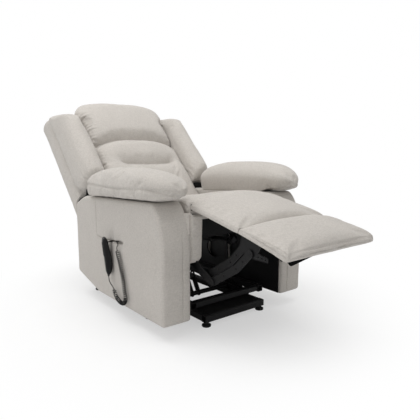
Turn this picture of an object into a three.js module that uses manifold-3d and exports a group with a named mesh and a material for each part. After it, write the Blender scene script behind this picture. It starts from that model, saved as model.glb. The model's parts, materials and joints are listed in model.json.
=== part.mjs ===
// A lift recliner chair: a steel base that stays on the floor, a linkage that raises and tips the
// whole chair, and an upholstered recliner whose back lies down and whose footrest swings out.
// Millimetres, +Z up, the occupant faces -Y and has the left arm at +X. The origin is on the floor
// under the middle of the arms. The chair is modelled reclined, with the footrest out and the lift down.
import * as THREE from 'three';
import * as BufferGeometryUtils from 'three/addons/utils/BufferGeometryUtils.js';
import Module from 'manifold-3d';

const wasm = await Module();
wasm.setup();

// ---------------------------------------------------------------- driving dimensions

const GAP = 0.3;                 // clearance between pieces that touch
const RUNNING_GAP = 0.4;         // radial clearance of a pin in its hole
const MERGE_DISTANCE = 1e-3;     // vertices closer than this are one

// base
const BASE_TUBE = 30;            // height and width of the base's square tubes
const BASE_WALL = 2.5;
const BASE_CLEARANCE = 20;       // floor to the underside of the base tubes
const BASE_RAIL_X = 156;         // centre of each long rail
const BASE_FRONT_Y = -385;       // front of the front crossbar
const BASE_REAR_Y = 385;         // back of the rear crossbar
const FRONT_BAR_HALF = 172;
const REAR_BAR_HALF = 315;
const MIDDLE_BAR_Y = -140;
const MIDDLE_BAR_HALF = 312;
const MIDDLE_BAR_THICKNESS = 6;
const FOOT_RADIUS = 20;
const COVER_PLATE_REAR_Y = -205;
const COVER_PLATE_THICKNESS = 2.5;

// lift linkage, points as [y, z] with the lift down
const LIFT_PIN_RADIUS = 8;
const LINK_HALF_WIDTH = 11;
const LINK_THICKNESS = 6;
const REAR_LIFT_BASE = [-142, 62];
const REAR_LIFT_CHAIR = [261, 84];
const FRONT_LIFT_BASE = [-268, 55];
const FRONT_LIFT_CHAIR = [-65, 78.5];
const OPEN_PIVOT_PLAY = 2.6;     // radial play where the linkage is left open
const BRACKET_X = 150;           // inner face of the pivot bracket on the base
const REAR_LIFT_X = 160;         // inner face of the rear lift link
const FRONT_LIFT_X = 172;        // inner face of the front lift link
const LIFT_TUBE_RADIUS = 11;

// lift actuator
const LIFT_ACTUATOR_X = -45;
const LIFT_ACTUATOR_BASE = [345, 70];
const LIFT_CRANK_RADIUS = 90;
const LIFT_CRANK_ANGLE = 60;     // degrees from +Y towards +Z
const LIFT_SLOT_TRAVEL = 6;      // the rod's pin rides this far to each side in its slot
const LIFT_SLOT_PLAY = 1.3;
const CRANK_HALF_WIDTH = 15.5;
const EAR_THICKNESS = 5;
const EAR_SPACING = 38;          // between the middles of a pair of ears
const ACTUATOR_TUBE_RADIUS = 20;
const ACTUATOR_ROD_RADIUS = 10;
const ACTUATOR_PIN_RADIUS = 6;
const ROD_BORE_FROM = 104;       // bottom of the rod's bore, from the actuator's rear eye
const LIFT_TUBE_LENGTH = 290;
const RECLINE_TUBE_LENGTH = 225;
const RECLINE_STROKE = 76;

// chair frame between the arms
const CHAIR_RAIL_X = 182;        // inner face of the chair rail
const CHAIR_RAIL_WIDTH = 30;
const CHAIR_RAIL_LOW = 70;
const CHAIR_RAIL_HEIGHT = 30;
const CHAIR_RAIL_FRONT_Y = -335;
const CHAIR_RAIL_REAR_Y = 330;
const CHAIR_RAIL_WALL = 2.5;
const SIDE_PLATE_X = 240;        // inner face of the steel side plate
const SIDE_PLATE_THICKNESS = 6;
const FLANGE_FRONT_Y = -55;      // the foot of the side plate, behind the folded footrest links
const FLANGE_REAR_Y = 235;
const SEAT_RAIL_LOW = 385;       // underside of the sliding seat rails
const SEAT_RAIL_HIGH = 425;

// arms
const ARM_INNER_X = 261;
const ARM_OUTER_X = 396;
const ARM_BOTTOM_Z = 60;
const ARM_FRONT_Y = -407;
const ARM_REAR_Y = 407;
const ARM_TOP_REAR = [285, 516];
const ARM_TOP_FRONT = [-330, 541];
const ARM_EDGE = 9;              // rounding of the padded edges
const LINING_THICKNESS = 2;
const BATTENS = [[-45, 20], [120, 165]];  // front and rear of each batten that bolts the arm on
const BATTEN_LOW_Z = 130;
const BATTEN_HIGH_Z = 379;
const PAD_INNER_X = 252;
const PAD_OUTER_X = 429;

// handset pocket on the right arm
const POCKET_FRONT_Y = -107;
const POCKET_REAR_Y = 154;
const POCKET_LOW_Z = 176;
const POCKET_DEPTH = 16;
const POCKET_PANEL = 3.5;
const POCKET_LIP_Z = 334;
const POCKET_BOARD_PLAY = 0.5;

// seat
const SEAT_HALF = 252;
const SEAT_FRONT_Y = -372;
const SEAT_REAR_Y = 172;
// Crown of the seat cushion: [y, z].
const SEAT_CROWN = [[172, 470], [150, 484], [100, 499], [40, 509], [-43, 521], [-178, 534], [-257, 550],
  [-303, 556], [-345, 553], [-372, 535]];
const SEAT_DECK_FRONT_Y = -330;
const SEAT_DECK_REAR_Y = 190;
const SEAT_DECK_RAIL = 28;
const SPRING_COUNT = 4;
const SPRING_SPACING = 112;
const SPRING_WIRE_RADIUS = 2.2;
const SPRING_SWING = 22;
const SPRING_WAVES = 6;
const SPRING_Z = 412;
const SPRING_LEAD = 8;           // straight ends, hooked to the rails

// backrest, built upright and then leaned
const BACK_PIVOT = [230, 440];
const BACK_LEAN = 45;
const BACK_PIN_RADIUS = 7;
const BACK_FRAME_X = 226;        // inner face of each steel side of the back frame
const BACK_FRAME_THICKNESS = 6;
const BACK_FRAME_DEPTH = [-190, -62];
const BACK_FRAME_LOW = -50;
const BACK_FRAME_HIGH = 715;
const BACK_CUSHION_HALF = 256;
const BACK_CUSHION_REAR = -61.7;
const BACK_PANEL_THICKNESS = 5;
const WING_INNER_X = 262;
const WING_OUTER_X = 390;
const WING_LOW = 104;            // the wings' lowest height up the back

// footrest, extended
const FOOT_SWING = 74.4;         // degrees that the board turns when it folds away
const FOOT_PIVOT = [-240, 372];  // torque tube, on the seat rails
const FOOT_KNEE = [-497.5, 238.6];
const FOOT_BOARD_PIVOT = [-700, 388];
const FOOT_PIVOT_SPACING = [45, 14];
const FOOT_LINK_THICKNESS = 5;
const FOOT_LINK_HALF = 15;
const FOOT_LINK_ELBOW = 0.62;    // where along its length a front link bends,
const FOOT_LINK_SAG = 14;        // and how far it sags there
const REAR_LINK_X = 229;         // inner faces of the plates, each beside the next
const LOWER_LINK_X = 223;
const BOARD_BRACKET_X = 217;
const UPPER_LINK_X = 211;
const FOOT_PIN_RADIUS = 5;
const FOOT_HUB_RADIUS = 8;
const PIN_STANDOUT = 0.6;
const FOOT_TUBE_RADIUS = 12.5;
const FOOT_HALF = 241;
const BOARD_SLOPE = 15.6;
const BOARD_FRONT = [-871, 395];
const BOARD_LENGTH = 226;
const BOARD_THICKNESS = 16;
const BOARD_SIDE_INSET = 4;
// Padding over the footrest: [distance from the board's front edge, underside, crown], both square to it.
const FOOT_PAD = [[-13, 8, 30], [-8, 2, 39], [-0.9, 1, 44], [-0.4, 16.3, 44.5], [30, 16.3, 54], [100, 16.3, 58], [170, 16.3, 54], [205, 16.3, 38], [224, 16.3, 28]];
const CHAISE_PAD = [[226.4, -2, 26], [262, -6, 42], [330, -10, 48], [420, -17, 42], [470, -22, 33], [508, -28, 20]];

// recline actuator
const RECLINE_ACTUATOR_X = 62;
const RECLINE_ACTUATOR_BASE = [170, 300];
const RECLINE_CRANK_RADIUS = 62;
const RECLINE_CRANK_ANGLE = 222;
const RECLINE_SLOT_IN = 10.6;    // the slot reaches this far inward of the pin and
const RECLINE_SLOT_OUT = 4.6;    // this far outward
const RECLINE_SLOT_PLAY = 2.1;

// handset and its cord
const HANDSET_WIDTH = 44;
const HANDSET_TURN = 19;         // turned about the vertical, keys outwards and rearwards
const HANDSET_LEAN = 4;          // its top stands off the arm
const HANDSET_AT = [-422.8, 10, 274];
const HOOK_THICKNESS = 3;
const BUTTON_TRAVEL = 1;
const BUTTON_HEIGHTS = [56, 40, 24, 8];
const BUTTON_SIZE = [28, 11];
const CORD_RADIUS = 1.9;
const CURL_RADIUS = 7.6;
const CURL_COUNT = 43;
const CORD_SIDES = 8;

// ---------------------------------------------------------------- materials

const material = (color, roughness, metalness = 0) =>
  new THREE.MeshStandardMaterial({ color, roughness, metalness });
const FABRIC = material(0xc9c2b8, 0.95);
const SIDE_FABRIC = material(0xb9b1a7, 0.95);
const LINING = material(0x151516, 0.95);
const BLACK_STEEL = material(0x1d1e20, 0.5, 0.7);
const BRIGHT_STEEL = material(0x9a9da1, 0.35, 0.9);
const BLACK_PLASTIC = material(0x111214, 0.55);
const KEY_PLASTIC = material(0x5d6470, 0.5);
const WOOD = material(0xb08b5e, 0.8);
const CORD_RUBBER = material(0x0d0d0e, 0.6);

// ---------------------------------------------------------------- shared helpers

const chair = new THREE.Group();

const radians = THREE.MathUtils.degToRad;
const lerp = THREE.MathUtils.lerp;
const smooth = (t) => t * t * (3 - 2 * t);
const pointAt = ([y, z], radius, degrees) =>
  [y + radius * Math.cos(radians(degrees)), z + radius * Math.sin(radians(degrees))];
const between = (a, b, t) => [lerp(a[0], b[0], t), lerp(a[1], b[1], t)];
const distance = (a, b) => Math.hypot(b[0] - a[0], b[1] - a[1]);
const direction = (a, b) => Math.atan2(b[1] - a[1], b[0] - a[0]) * THREE.MathUtils.RAD2DEG;

function add(name, geometry, look, parent = chair) {
  const mesh = new THREE.Mesh(geometry, look);
  mesh.name = name;
  parent.add(mesh);
  return mesh;
}

function toManifold(geometry) {
  const merged = BufferGeometryUtils.mergeVertices(positionsOnly(geometry), MERGE_DISTANCE);
  return new wasm.Manifold(new wasm.Mesh({
    numProp: 3,
    vertProperties: new Float32Array(merged.attributes.position.array),
    triVerts: new Uint32Array(merged.index.array),
  }));
}

function positionsOnly(geometry) {
  const bare = geometry.clone();
  for (const key of Object.keys(bare.attributes)) {
    if (key !== 'position') bare.deleteAttribute(key);
  }
  return bare;
}

function toGeometry(manifold) {
  const mesh = manifold.getMesh();
  const geometry = new THREE.BufferGeometry();
  geometry.setAttribute('position', new THREE.BufferAttribute(new Float32Array(mesh.vertProperties), 3));
  geometry.setIndex(new THREE.BufferAttribute(new Uint32Array(mesh.triVerts), 1));
  geometry.computeVertexNormals();
  return geometry;
}

const join = (...pieces) => toGeometry(pieces.map(toManifold).reduce((a, b) => a.add(b)));
const cut = (body, ...tools) => toGeometry(tools.map(toManifold).reduce((a, b) => a.subtract(b), toManifold(body)));

// An outline drawn in the side view (y, z), as thick as asked along X from x.
function sidePlate(shape, thickness, x, bevel = 0) {
  const geometry = new THREE.ExtrudeGeometry(shape, {
    depth: thickness - 2 * bevel,
    bevelEnabled: bevel > 0,
    bevelThickness: bevel,
    bevelSize: bevel,
    bevelOffset: -bevel,
    bevelSegments: 2,
    curveSegments: 8,
  });
  geometry.applyMatrix4(new THREE.Matrix4().makeBasis(
    new THREE.Vector3(0, 1, 0), new THREE.Vector3(0, 0, 1), new THREE.Vector3(1, 0, 0)));
  geometry.translate(x + bevel, 0, 0);
  return geometry;
}

// The same, on the left (side 1) or mirrored to the right (side -1), from its inner face outwards.
const sidePlateOn = (side, shape, thickness, innerX, bevel = 0) =>
  sidePlate(shape, thickness, side > 0 ? innerX : -innerX - thickness, bevel);

const polygon = (points) => new THREE.Shape(points.map(([y, z]) => new THREE.Vector2(y, z)));

// A round or oval hole.
const holePath = ([y, z], radiusY, radiusZ = radiusY, sides = 12) =>
  new THREE.Path(Array.from({ length: sides }, (_, i) => {
    const angle = (i / sides) * 2 * Math.PI;
    return new THREE.Vector2(y + radiusY * Math.cos(angle), z + radiusZ * Math.sin(angle));
  }));

// A flat plate drawn tight round circles given as [y, z, radius].
function hullShape(circles, sides = 12) {
  const points = circles.flatMap(([y, z, radius]) => Array.from({ length: sides }, (_, i) => {
    const angle = (i / sides) * 2 * Math.PI;
    return new THREE.Vector2(y + radius * Math.cos(angle), z + radius * Math.sin(angle));
  })).sort((a, b) => a.x - b.x || a.y - b.y);
  const half = (list) => {
    const chain = [];
    for (const p of list) {
      while (chain.length > 1) {
        const [a, b] = chain.slice(-2);
        if ((b.x - a.x) * (p.y - a.y) - (b.y - a.y) * (p.x - a.x) > 1e-6) break;
        chain.pop();
      }
      chain.push(p);
    }
    return chain.slice(0, -1);
  };
  return new THREE.Shape([...half(points), ...half([...points].reverse())]);
}

// A flat link with round ends.
const linkShape = (a, b, endA, endB = endA) => hullShape([[...a, endA], [...b, endB]]);

// A cylinder along X between two x values.
function crossPin(radius, fromX, toX, [y, z], sides = 12) {
  const geometry = new THREE.CylinderGeometry(radius, radius, Math.abs(toX - fromX), sides);
  geometry.rotateZ(Math.PI / 2);
  geometry.translate((fromX + toX) / 2, y, z);
  return geometry;
}

function box(x0, x1, y0, y1, z0, z1) {
  const geometry = new THREE.BoxGeometry(Math.abs(x1 - x0), Math.abs(y1 - y0), Math.abs(z1 - z0));
  geometry.translate((x0 + x1) / 2, (y0 + y1) / 2, (z0 + z1) / 2);
  return geometry;
}

// A square steel tube with open ends and slightly broken corners, along X or Y.
function squareTube(axis, from, to, across, low, width, height, wall) {
  const ring = (inset, corner) => {
    const w = width / 2 - inset;
    const h = height / 2 - inset;
    return [[-w + corner, -h], [w - corner, -h], [w, -h + corner], [w, h - corner],
      [w - corner, h], [-w + corner, h], [-w, h - corner], [-w, -h + corner]]
      .map(([u, v]) => new THREE.Vector2(u, v));
  };
  const shape = new THREE.Shape(ring(0, 2.5));
  shape.holes.push(new THREE.Path(ring(wall, 1)));
  const geometry = new THREE.ExtrudeGeometry(shape, { depth: to - from, bevelEnabled: false });
  const [right, up, along] = axis === 'x'
    ? [new THREE.Vector3(0, 1, 0), new THREE.Vector3(0, 0, 1), new THREE.Vector3(1, 0, 0)]
    : [new THREE.Vector3(-1, 0, 0), new THREE.Vector3(0, 0, 1), new THREE.Vector3(0, 1, 0)];
  geometry.applyMatrix4(new THREE.Matrix4().makeBasis(right, up, along));
  if (axis === 'x') geometry.translate(from, across, low + height / 2);
  else geometry.translate(across, from, low + height / 2);
  return geometry;
}

// A closed tube of round section along a smooth curve.
function roundTube(curve, radius, sides, steps) {
  const section = new THREE.Shape();
  for (let i = 0; i < sides; i += 1) {
    const angle = (i / sides) * 2 * Math.PI;
    const x = radius * Math.cos(angle);
    const y = radius * Math.sin(angle);
    if (i === 0) section.moveTo(x, y);
    else section.lineTo(x, y);
  }
  return new THREE.ExtrudeGeometry(section, { steps, extrudePath: curve, bevelEnabled: false });
}

// Rings of points joined into one closed body, with a fan at each end.
function skin(rings) {
  const count = rings[0].length;
  const points = rings.flat();
  const faces = [];
  for (let r = 0; r + 1 < rings.length; r += 1) {
    for (let i = 0; i < count; i += 1) {
      const a = r * count + i;
      const b = r * count + ((i + 1) % count);
      faces.push(a, b, a + count, b, b + count, a + count);
    }
  }
  const centre = (ring) => ring.reduce((sum, p) => sum.add(p), new THREE.Vector3()).divideScalar(count);
  const first = points.push(centre(rings[0])) - 1;
  const last = points.push(centre(rings[rings.length - 1])) - 1;
  const lastRing = (rings.length - 1) * count;
  for (let i = 0; i < count; i += 1) {
    const next = (i + 1) % count;
    faces.push(first, next, i);
    faces.push(last, lastRing + i, lastRing + next);
  }
  const geometry = new THREE.BufferGeometry().setFromPoints(points);
  geometry.setIndex(faces);
  geometry.computeVertexNormals();
  return facingOut(geometry);
}

function facingOut(geometry) {
  const p = geometry.attributes.position;
  const index = geometry.index;
  const [a, b, c] = [new THREE.Vector3(), new THREE.Vector3(), new THREE.Vector3()];
  let volume = 0;
  for (let i = 0; i < index.count; i += 3) {
    a.fromBufferAttribute(p, index.getX(i));
    b.fromBufferAttribute(p, index.getX(i + 1));
    c.fromBufferAttribute(p, index.getX(i + 2));
    volume += a.dot(b.cross(c));
  }
  if (volume < 0) {
    for (let i = 0; i < index.count; i += 3) {
      const keep = index.getX(i);
      index.setX(i, index.getX(i + 1));
      index.setX(i + 1, keep);
    }
    geometry.computeVertexNormals();
  }
  return geometry;
}

// A soft-cornered ring in a plane: a superellipse whose four quarters may differ.
function softRing(count, at, left, right, low, high, power) {
  return Array.from({ length: count }, (_, i) => {
    const angle = (i / count) * 2 * Math.PI;
    const c = Math.cos(angle);
    const s = Math.sin(angle);
    const x = Math.sign(c) * Math.abs(c) ** (2 / power);
    const y = Math.sign(s) * Math.abs(s) ** (2 / power);
    return at(x > 0 ? x * right : x * left, y > 0 ? y * high : y * low);
  });
}

// Rounds off an end: 1 in the middle of the span and falling to `least` at its two ends.
const roundedEnd = (t, reach, least, power = 2.2) => {
  const fromEnd = Math.min(t, 1 - t);
  if (fromEnd >= reach) return 1;
  const k = 1 - fromEnd / reach;
  return Math.max(least, (1 - k ** power) ** (1 / power));
};

// ---------------------------------------------------------------- base

function foot(x, y, top) {
  const profile = [[0, 0], [FOOT_RADIUS - 2, 0], [FOOT_RADIUS, 2], [FOOT_RADIUS, 9], [10, 11], [10, top], [0, top]]
    .map(([r, z]) => new THREE.Vector2(r, z));
  const geometry = new THREE.LatheGeometry(profile, 12);
  geometry.rotateX(Math.PI / 2);
  geometry.translate(x, y, 0);
  return geometry;
}

function buildBase() {
  const tubeTop = BASE_CLEARANCE + BASE_TUBE;
  const railFront = BASE_FRONT_Y + BASE_TUBE + GAP;
  const railRear = BASE_REAR_Y - BASE_TUBE - GAP;
  const footInset = BASE_TUBE / 2;

  for (const [side, name] of [[1, 'left'], [-1, 'right']]) {
    const bracketShape = polygon([
      [FRONT_LIFT_BASE[0] - 22, tubeTop - 1], [FRONT_LIFT_BASE[0] - 14, FRONT_LIFT_BASE[1] + 13],
      [FRONT_LIFT_BASE[0] + 14, FRONT_LIFT_BASE[1] + 15], [REAR_LIFT_BASE[0] - 14, REAR_LIFT_BASE[1] + 15],
      [REAR_LIFT_BASE[0] + 14, REAR_LIFT_BASE[1] + 13], [REAR_LIFT_BASE[0] + 24, tubeTop - 1],
    ]);
    const bracket = sidePlateOn(side, bracketShape, LINK_THICKNESS, BRACKET_X);
    const rail = squareTube('y', railFront, railRear, side * BASE_RAIL_X, BASE_CLEARANCE, BASE_TUBE, BASE_TUBE, BASE_WALL);
    const frontPin = crossPin(LIFT_PIN_RADIUS, side * (BRACKET_X + 3), side * (FRONT_LIFT_X + LINK_THICKNESS + 3), FRONT_LIFT_BASE);
    const shaftHole = crossPin(LIFT_PIN_RADIUS + RUNNING_GAP, side * (BRACKET_X - 5), side * (BRACKET_X + 12), REAR_LIFT_BASE);
    add(`base_rail_${name}`, cut(join(rail, bracket, frontPin), shaftHole), BLACK_STEEL);
  }

  const frontBar = squareTube('x', -FRONT_BAR_HALF, FRONT_BAR_HALF, BASE_FRONT_Y + BASE_TUBE / 2, BASE_CLEARANCE,
    BASE_TUBE, BASE_TUBE, BASE_WALL);
  const frontFeet = [-1, 1].map((s) => foot(s * (FRONT_BAR_HALF - footInset), BASE_FRONT_Y + footInset, BASE_CLEARANCE + 1));
  add('base_front_bar', join(frontBar, ...frontFeet), BLACK_STEEL);

  const rearBar = squareTube('x', -REAR_BAR_HALF, REAR_BAR_HALF, BASE_REAR_Y - BASE_TUBE / 2, BASE_CLEARANCE,
    BASE_TUBE, BASE_TUBE, BASE_WALL);
  const rearFeet = [-1, 1].map((s) => foot(s * (REAR_BAR_HALF - footInset), BASE_REAR_Y - footInset, BASE_CLEARANCE + 1));
  const [anchorY, anchorZ] = LIFT_ACTUATOR_BASE;
  const earShape = polygon([[anchorY - 13, anchorZ - 4], [anchorY - 9, anchorZ + 12], [anchorY + 9, anchorZ + 12],
    [BASE_REAR_Y - 6, tubeTop - 1], [BASE_REAR_Y - BASE_TUBE + 2, tubeTop - 1]]);
  const ears = [-1, 1].map((s) => sidePlate(earShape, EAR_THICKNESS, LIFT_ACTUATOR_X + (s * EAR_SPACING - EAR_THICKNESS) / 2));
  const anchorPin = crossPin(ACTUATOR_PIN_RADIUS, LIFT_ACTUATOR_X - 24, LIFT_ACTUATOR_X + 24, LIFT_ACTUATOR_BASE, 12);
  add('base_rear_bar', join(rearBar, ...rearFeet, ...ears, anchorPin), BLACK_STEEL);

  const barTop = BASE_CLEARANCE - GAP;
  const barLow = barTop - MIDDLE_BAR_THICKNESS;
  const middleBar = box(-MIDDLE_BAR_HALF, MIDDLE_BAR_HALF, MIDDLE_BAR_Y - 16, MIDDLE_BAR_Y + 16, barLow, barTop);
  const middleFeet = [-1, 1].map((s) => foot(s * (MIDDLE_BAR_HALF - footInset), MIDDLE_BAR_Y, barLow + 1));
  const footNuts = [-1, 1].map((s) => {
    const nut = new THREE.CylinderGeometry(13, 13, 14, 6);
    nut.rotateX(Math.PI / 2);
    nut.translate(s * (MIDDLE_BAR_HALF - footInset), MIDDLE_BAR_Y, barTop + 6);
    return nut;
  });
  add('base_middle_bar', join(middleBar, ...middleFeet, ...footNuts), BLACK_STEEL);

  const plateLow = tubeTop + GAP;
  add('base_cover_plate', box(-BRACKET_X + 4, BRACKET_X - 4, BASE_FRONT_Y + 4, COVER_PLATE_REAR_Y,
    plateLow, plateLow + COVER_PLATE_THICKNESS), BLACK_STEEL);
}

// ---------------------------------------------------------------- lift linkage

// A crank ear whose slot lets the actuator's pin ride along the crank.
function slottedCrank(centre, radius, angle, travelIn, travelOut, play, x) {
  const slotIn = pointAt(centre, radius - travelIn, angle);
  const slotOut = pointAt(centre, radius + travelOut, angle);
  const shape = linkShape(centre, slotOut, CRANK_HALF_WIDTH);
  const slot = linkShape(slotIn, slotOut, ACTUATOR_PIN_RADIUS + play);
  shape.holes.push(new THREE.Path(slot.getPoints()));
  return sidePlate(shape, EAR_THICKNESS, x - EAR_THICKNESS / 2);
}

function buildLiftLinks() {
  for (const [side, name] of [[1, 'left'], [-1, 'right']]) {
    const rearShape = linkShape(REAR_LIFT_BASE, REAR_LIFT_CHAIR, LINK_HALF_WIDTH, LINK_HALF_WIDTH + 3);
    rearShape.holes.push(holePath(REAR_LIFT_CHAIR, LIFT_PIN_RADIUS + RUNNING_GAP));
    rearShape.holes.push(holePath(REAR_LIFT_BASE, LIFT_PIN_RADIUS - 3 + GAP));
    add(`lift_link_rear_${name}`, sidePlateOn(side, rearShape, LINK_THICKNESS, REAR_LIFT_X), BLACK_STEEL);

    const openHole = LIFT_PIN_RADIUS + OPEN_PIVOT_PLAY;
    const frontShape = linkShape(FRONT_LIFT_BASE, FRONT_LIFT_CHAIR, LINK_HALF_WIDTH + 2, openHole + 4);
    frontShape.holes.push(holePath(FRONT_LIFT_BASE, LIFT_PIN_RADIUS + RUNNING_GAP));
    frontShape.holes.push(holePath(FRONT_LIFT_CHAIR, openHole));
    add(`lift_link_front_${name}`, sidePlateOn(side, frontShape, LINK_THICKNESS, FRONT_LIFT_X), BLACK_STEEL);
  }

  // The tube turns in the base brackets, its stepped ends are welded to the rear links.
  const tubeEnd = BRACKET_X - GAP - 0.2;
  const shaftEnd = REAR_LIFT_X - GAP;
  const spigotEnd = REAR_LIFT_X + LINK_THICKNESS - 1;
  const cranks = [-1, 1].map((s) =>
    slottedCrank(REAR_LIFT_BASE, LIFT_CRANK_RADIUS, LIFT_CRANK_ANGLE, LIFT_SLOT_TRAVEL, LIFT_SLOT_TRAVEL,
      LIFT_SLOT_PLAY, LIFT_ACTUATOR_X + (s * EAR_SPACING) / 2));
  add('lift_torque_tube', join(
    crossPin(LIFT_TUBE_RADIUS, -tubeEnd, tubeEnd, REAR_LIFT_BASE),
    crossPin(LIFT_PIN_RADIUS, -shaftEnd, shaftEnd, REAR_LIFT_BASE),
    crossPin(LIFT_PIN_RADIUS - 3, -spigotEnd, spigotEnd, REAR_LIFT_BASE),
    ...cranks), BLACK_STEEL);
}

// ---------------------------------------------------------------- actuators

// An electric linear actuator drawn along local +X from its rear eye: a gear housing with the motor
// across it, an outer tube, and a rod with a cross pin at its tip. `reach` is eye to pin.
function buildActuator(name, reach, tubeLength, rodFrom, motorSide, place) {
  const eyeHalf = 16 - GAP;
  const hull = new THREE.ExtrudeGeometry(new THREE.Shape([
    [-16, -15], [40, -22], [88, -22], [96, -16], [96, 16], [88, 22], [40, 22], [-16, 15]]
    .map(([x, y]) => new THREE.Vector2(x, y))), {
    depth: 2 * (eyeHalf - 4), bevelEnabled: true, bevelThickness: 4, bevelSize: 4, bevelOffset: -4, bevelSegments: 1 });
  hull.translate(0, 0, -(eyeHalf - 4));
  const alongLocalX = (radius, from, to, sides = 14, taper = radius) => {
    const g = new THREE.CylinderGeometry(taper, radius, to - from, sides);
    g.rotateZ(-Math.PI / 2);
    g.translate((from + to) / 2, 0, 0);
    return g;
  };
  const tubeEnd = 90 + tubeLength;
  const tube = alongLocalX(ACTUATOR_TUBE_RADIUS, 80, tubeEnd);
  const collar = alongLocalX(ACTUATOR_TUBE_RADIUS + 2.5, tubeEnd - 14, tubeEnd);
  const motor = new THREE.LatheGeometry([[0, 0], [24, 0], [26, 3], [26, 78], [20, 88], [0, 88]]
    .map(([r, z]) => new THREE.Vector2(r, z)), 16);
  motor.rotateX(Math.PI / 2);
  motor.translate(66, 0, eyeHalf - 6);
  if (motorSide < 0) motor.rotateX(Math.PI);
  const inlet = new THREE.BoxGeometry(16, 14, 12);
  inlet.translate(66, 0, motorSide * (eyeHalf + 84));
  const eyeBore = new THREE.CylinderGeometry(ACTUATOR_PIN_RADIUS + RUNNING_GAP, ACTUATOR_PIN_RADIUS + RUNNING_GAP, 60, 12);
  eyeBore.rotateX(Math.PI / 2);
  const rodBore = alongLocalX(ACTUATOR_ROD_RADIUS + 0.5, ROD_BORE_FROM, tubeEnd + 5);
  const housing = cut(join(hull, tube, collar, motor, inlet), eyeBore, rodBore);

  const rod = alongLocalX(ACTUATOR_ROD_RADIUS, rodFrom, reach - 4, 12);
  const head = alongLocalX(13, reach - 26, reach + 11, 12);
  const crossTip = new THREE.CylinderGeometry(ACTUATOR_PIN_RADIUS, ACTUATOR_PIN_RADIUS, 47, 12);
  crossTip.rotateX(Math.PI / 2);
  crossTip.translate(reach, 0, 0);

  const holder = new THREE.Group();
  place(holder);
  chair.add(holder);
  add(`${name}_body`, housing, BLACK_PLASTIC, holder);
  add(`${name}_rod`, join(rod, head, crossTip), BRIGHT_STEEL, holder);
}

// Lays local +X along the line from one side-view point to another, with local +Z along world +X.
function aimAlong(holder, x, from, to) {
  const angle = radians(direction(from, to));
  const along = new THREE.Vector3(0, Math.cos(angle), Math.sin(angle));
  const across = new THREE.Vector3(1, 0, 0);
  const up = new THREE.Vector3().crossVectors(across, along);
  holder.quaternion.setFromRotationMatrix(new THREE.Matrix4().makeBasis(along, up, across));
  holder.position.set(x, from[0], from[1]);
}

function buildActuators() {
  const liftPin = pointAt(REAR_LIFT_BASE, LIFT_CRANK_RADIUS, LIFT_CRANK_ANGLE);
  buildActuator('lift_actuator', distance(LIFT_ACTUATOR_BASE, liftPin), LIFT_TUBE_LENGTH, ROD_BORE_FROM + 8, 1,
    (holder) => aimAlong(holder, LIFT_ACTUATOR_X, LIFT_ACTUATOR_BASE, liftPin));
  const reclinePin = pointAt(FOOT_PIVOT, RECLINE_CRANK_RADIUS, RECLINE_CRANK_ANGLE);
  buildActuator('recline_actuator', distance(RECLINE_ACTUATOR_BASE, reclinePin), RECLINE_TUBE_LENGTH,
    ROD_BORE_FROM + RECLINE_STROKE + 8, -1,
    (holder) => aimAlong(holder, RECLINE_ACTUATOR_X, RECLINE_ACTUATOR_BASE, reclinePin));
}

// ---------------------------------------------------------------- chair frame

function buildChairFrame() {
  const railTop = CHAIR_RAIL_LOW + CHAIR_RAIL_HEIGHT;
  for (const [side, name] of [[1, 'left'], [-1, 'right']]) {
    const centre = side * (CHAIR_RAIL_X + CHAIR_RAIL_WIDTH / 2);
    const rail = squareTube('y', CHAIR_RAIL_FRONT_Y, CHAIR_RAIL_REAR_Y, centre, CHAIR_RAIL_LOW,
      CHAIR_RAIL_WIDTH, CHAIR_RAIL_HEIGHT, CHAIR_RAIL_WALL);
    const rearPin = crossPin(LIFT_PIN_RADIUS, side * (REAR_LIFT_X - 3), side * (CHAIR_RAIL_X + 3), REAR_LIFT_CHAIR);
    const frontPin = crossPin(LIFT_PIN_RADIUS, side * (FRONT_LIFT_X - 2), side * (CHAIR_RAIL_X + 3), FRONT_LIFT_CHAIR);
    const plateShape = polygon([[FLANGE_FRONT_Y, railTop - 1], [-40, 250], [-60, SEAT_RAIL_LOW - 8], [-52, SEAT_RAIL_LOW - GAP],
      [182, SEAT_RAIL_LOW - GAP], [190, SEAT_RAIL_LOW - 8], [170, 250], [FLANGE_REAR_Y, railTop - 1]]);
    plateShape.holes.push(holePath([66, 205], 62, 50, 20));
    const plate = sidePlateOn(side, plateShape, SIDE_PLATE_THICKNESS, SIDE_PLATE_X);
    const outer = side * (SIDE_PLATE_X + SIDE_PLATE_THICKNESS);
    const flange = box(side * (CHAIR_RAIL_X + 4), outer, FLANGE_FRONT_Y, FLANGE_REAR_Y, railTop - 1, railTop + 4);
    add(`mechanism_side_${name}`, join(rail, rearPin, frontPin, plate, flange), BLACK_STEEL);
  }
  const half = CHAIR_RAIL_X - GAP;
  const frontAt = CHAIR_RAIL_FRONT_Y + 15;
  add('chair_cross_tube_front', squareTube('x', -half, half, frontAt, CHAIR_RAIL_LOW + 4, 24, 24, 2), BLACK_STEEL);
  const rearAt = CHAIR_RAIL_REAR_Y - 14;
  const rearHalf = ARM_INNER_X - LINING_THICKNESS - 2 * GAP;
  add('chair_cross_tube_rear', squareTube('x', -rearHalf, rearHalf, rearAt, railTop + GAP, 26, 26, 2), BLACK_STEEL);
}

// ---------------------------------------------------------------- arms

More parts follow.
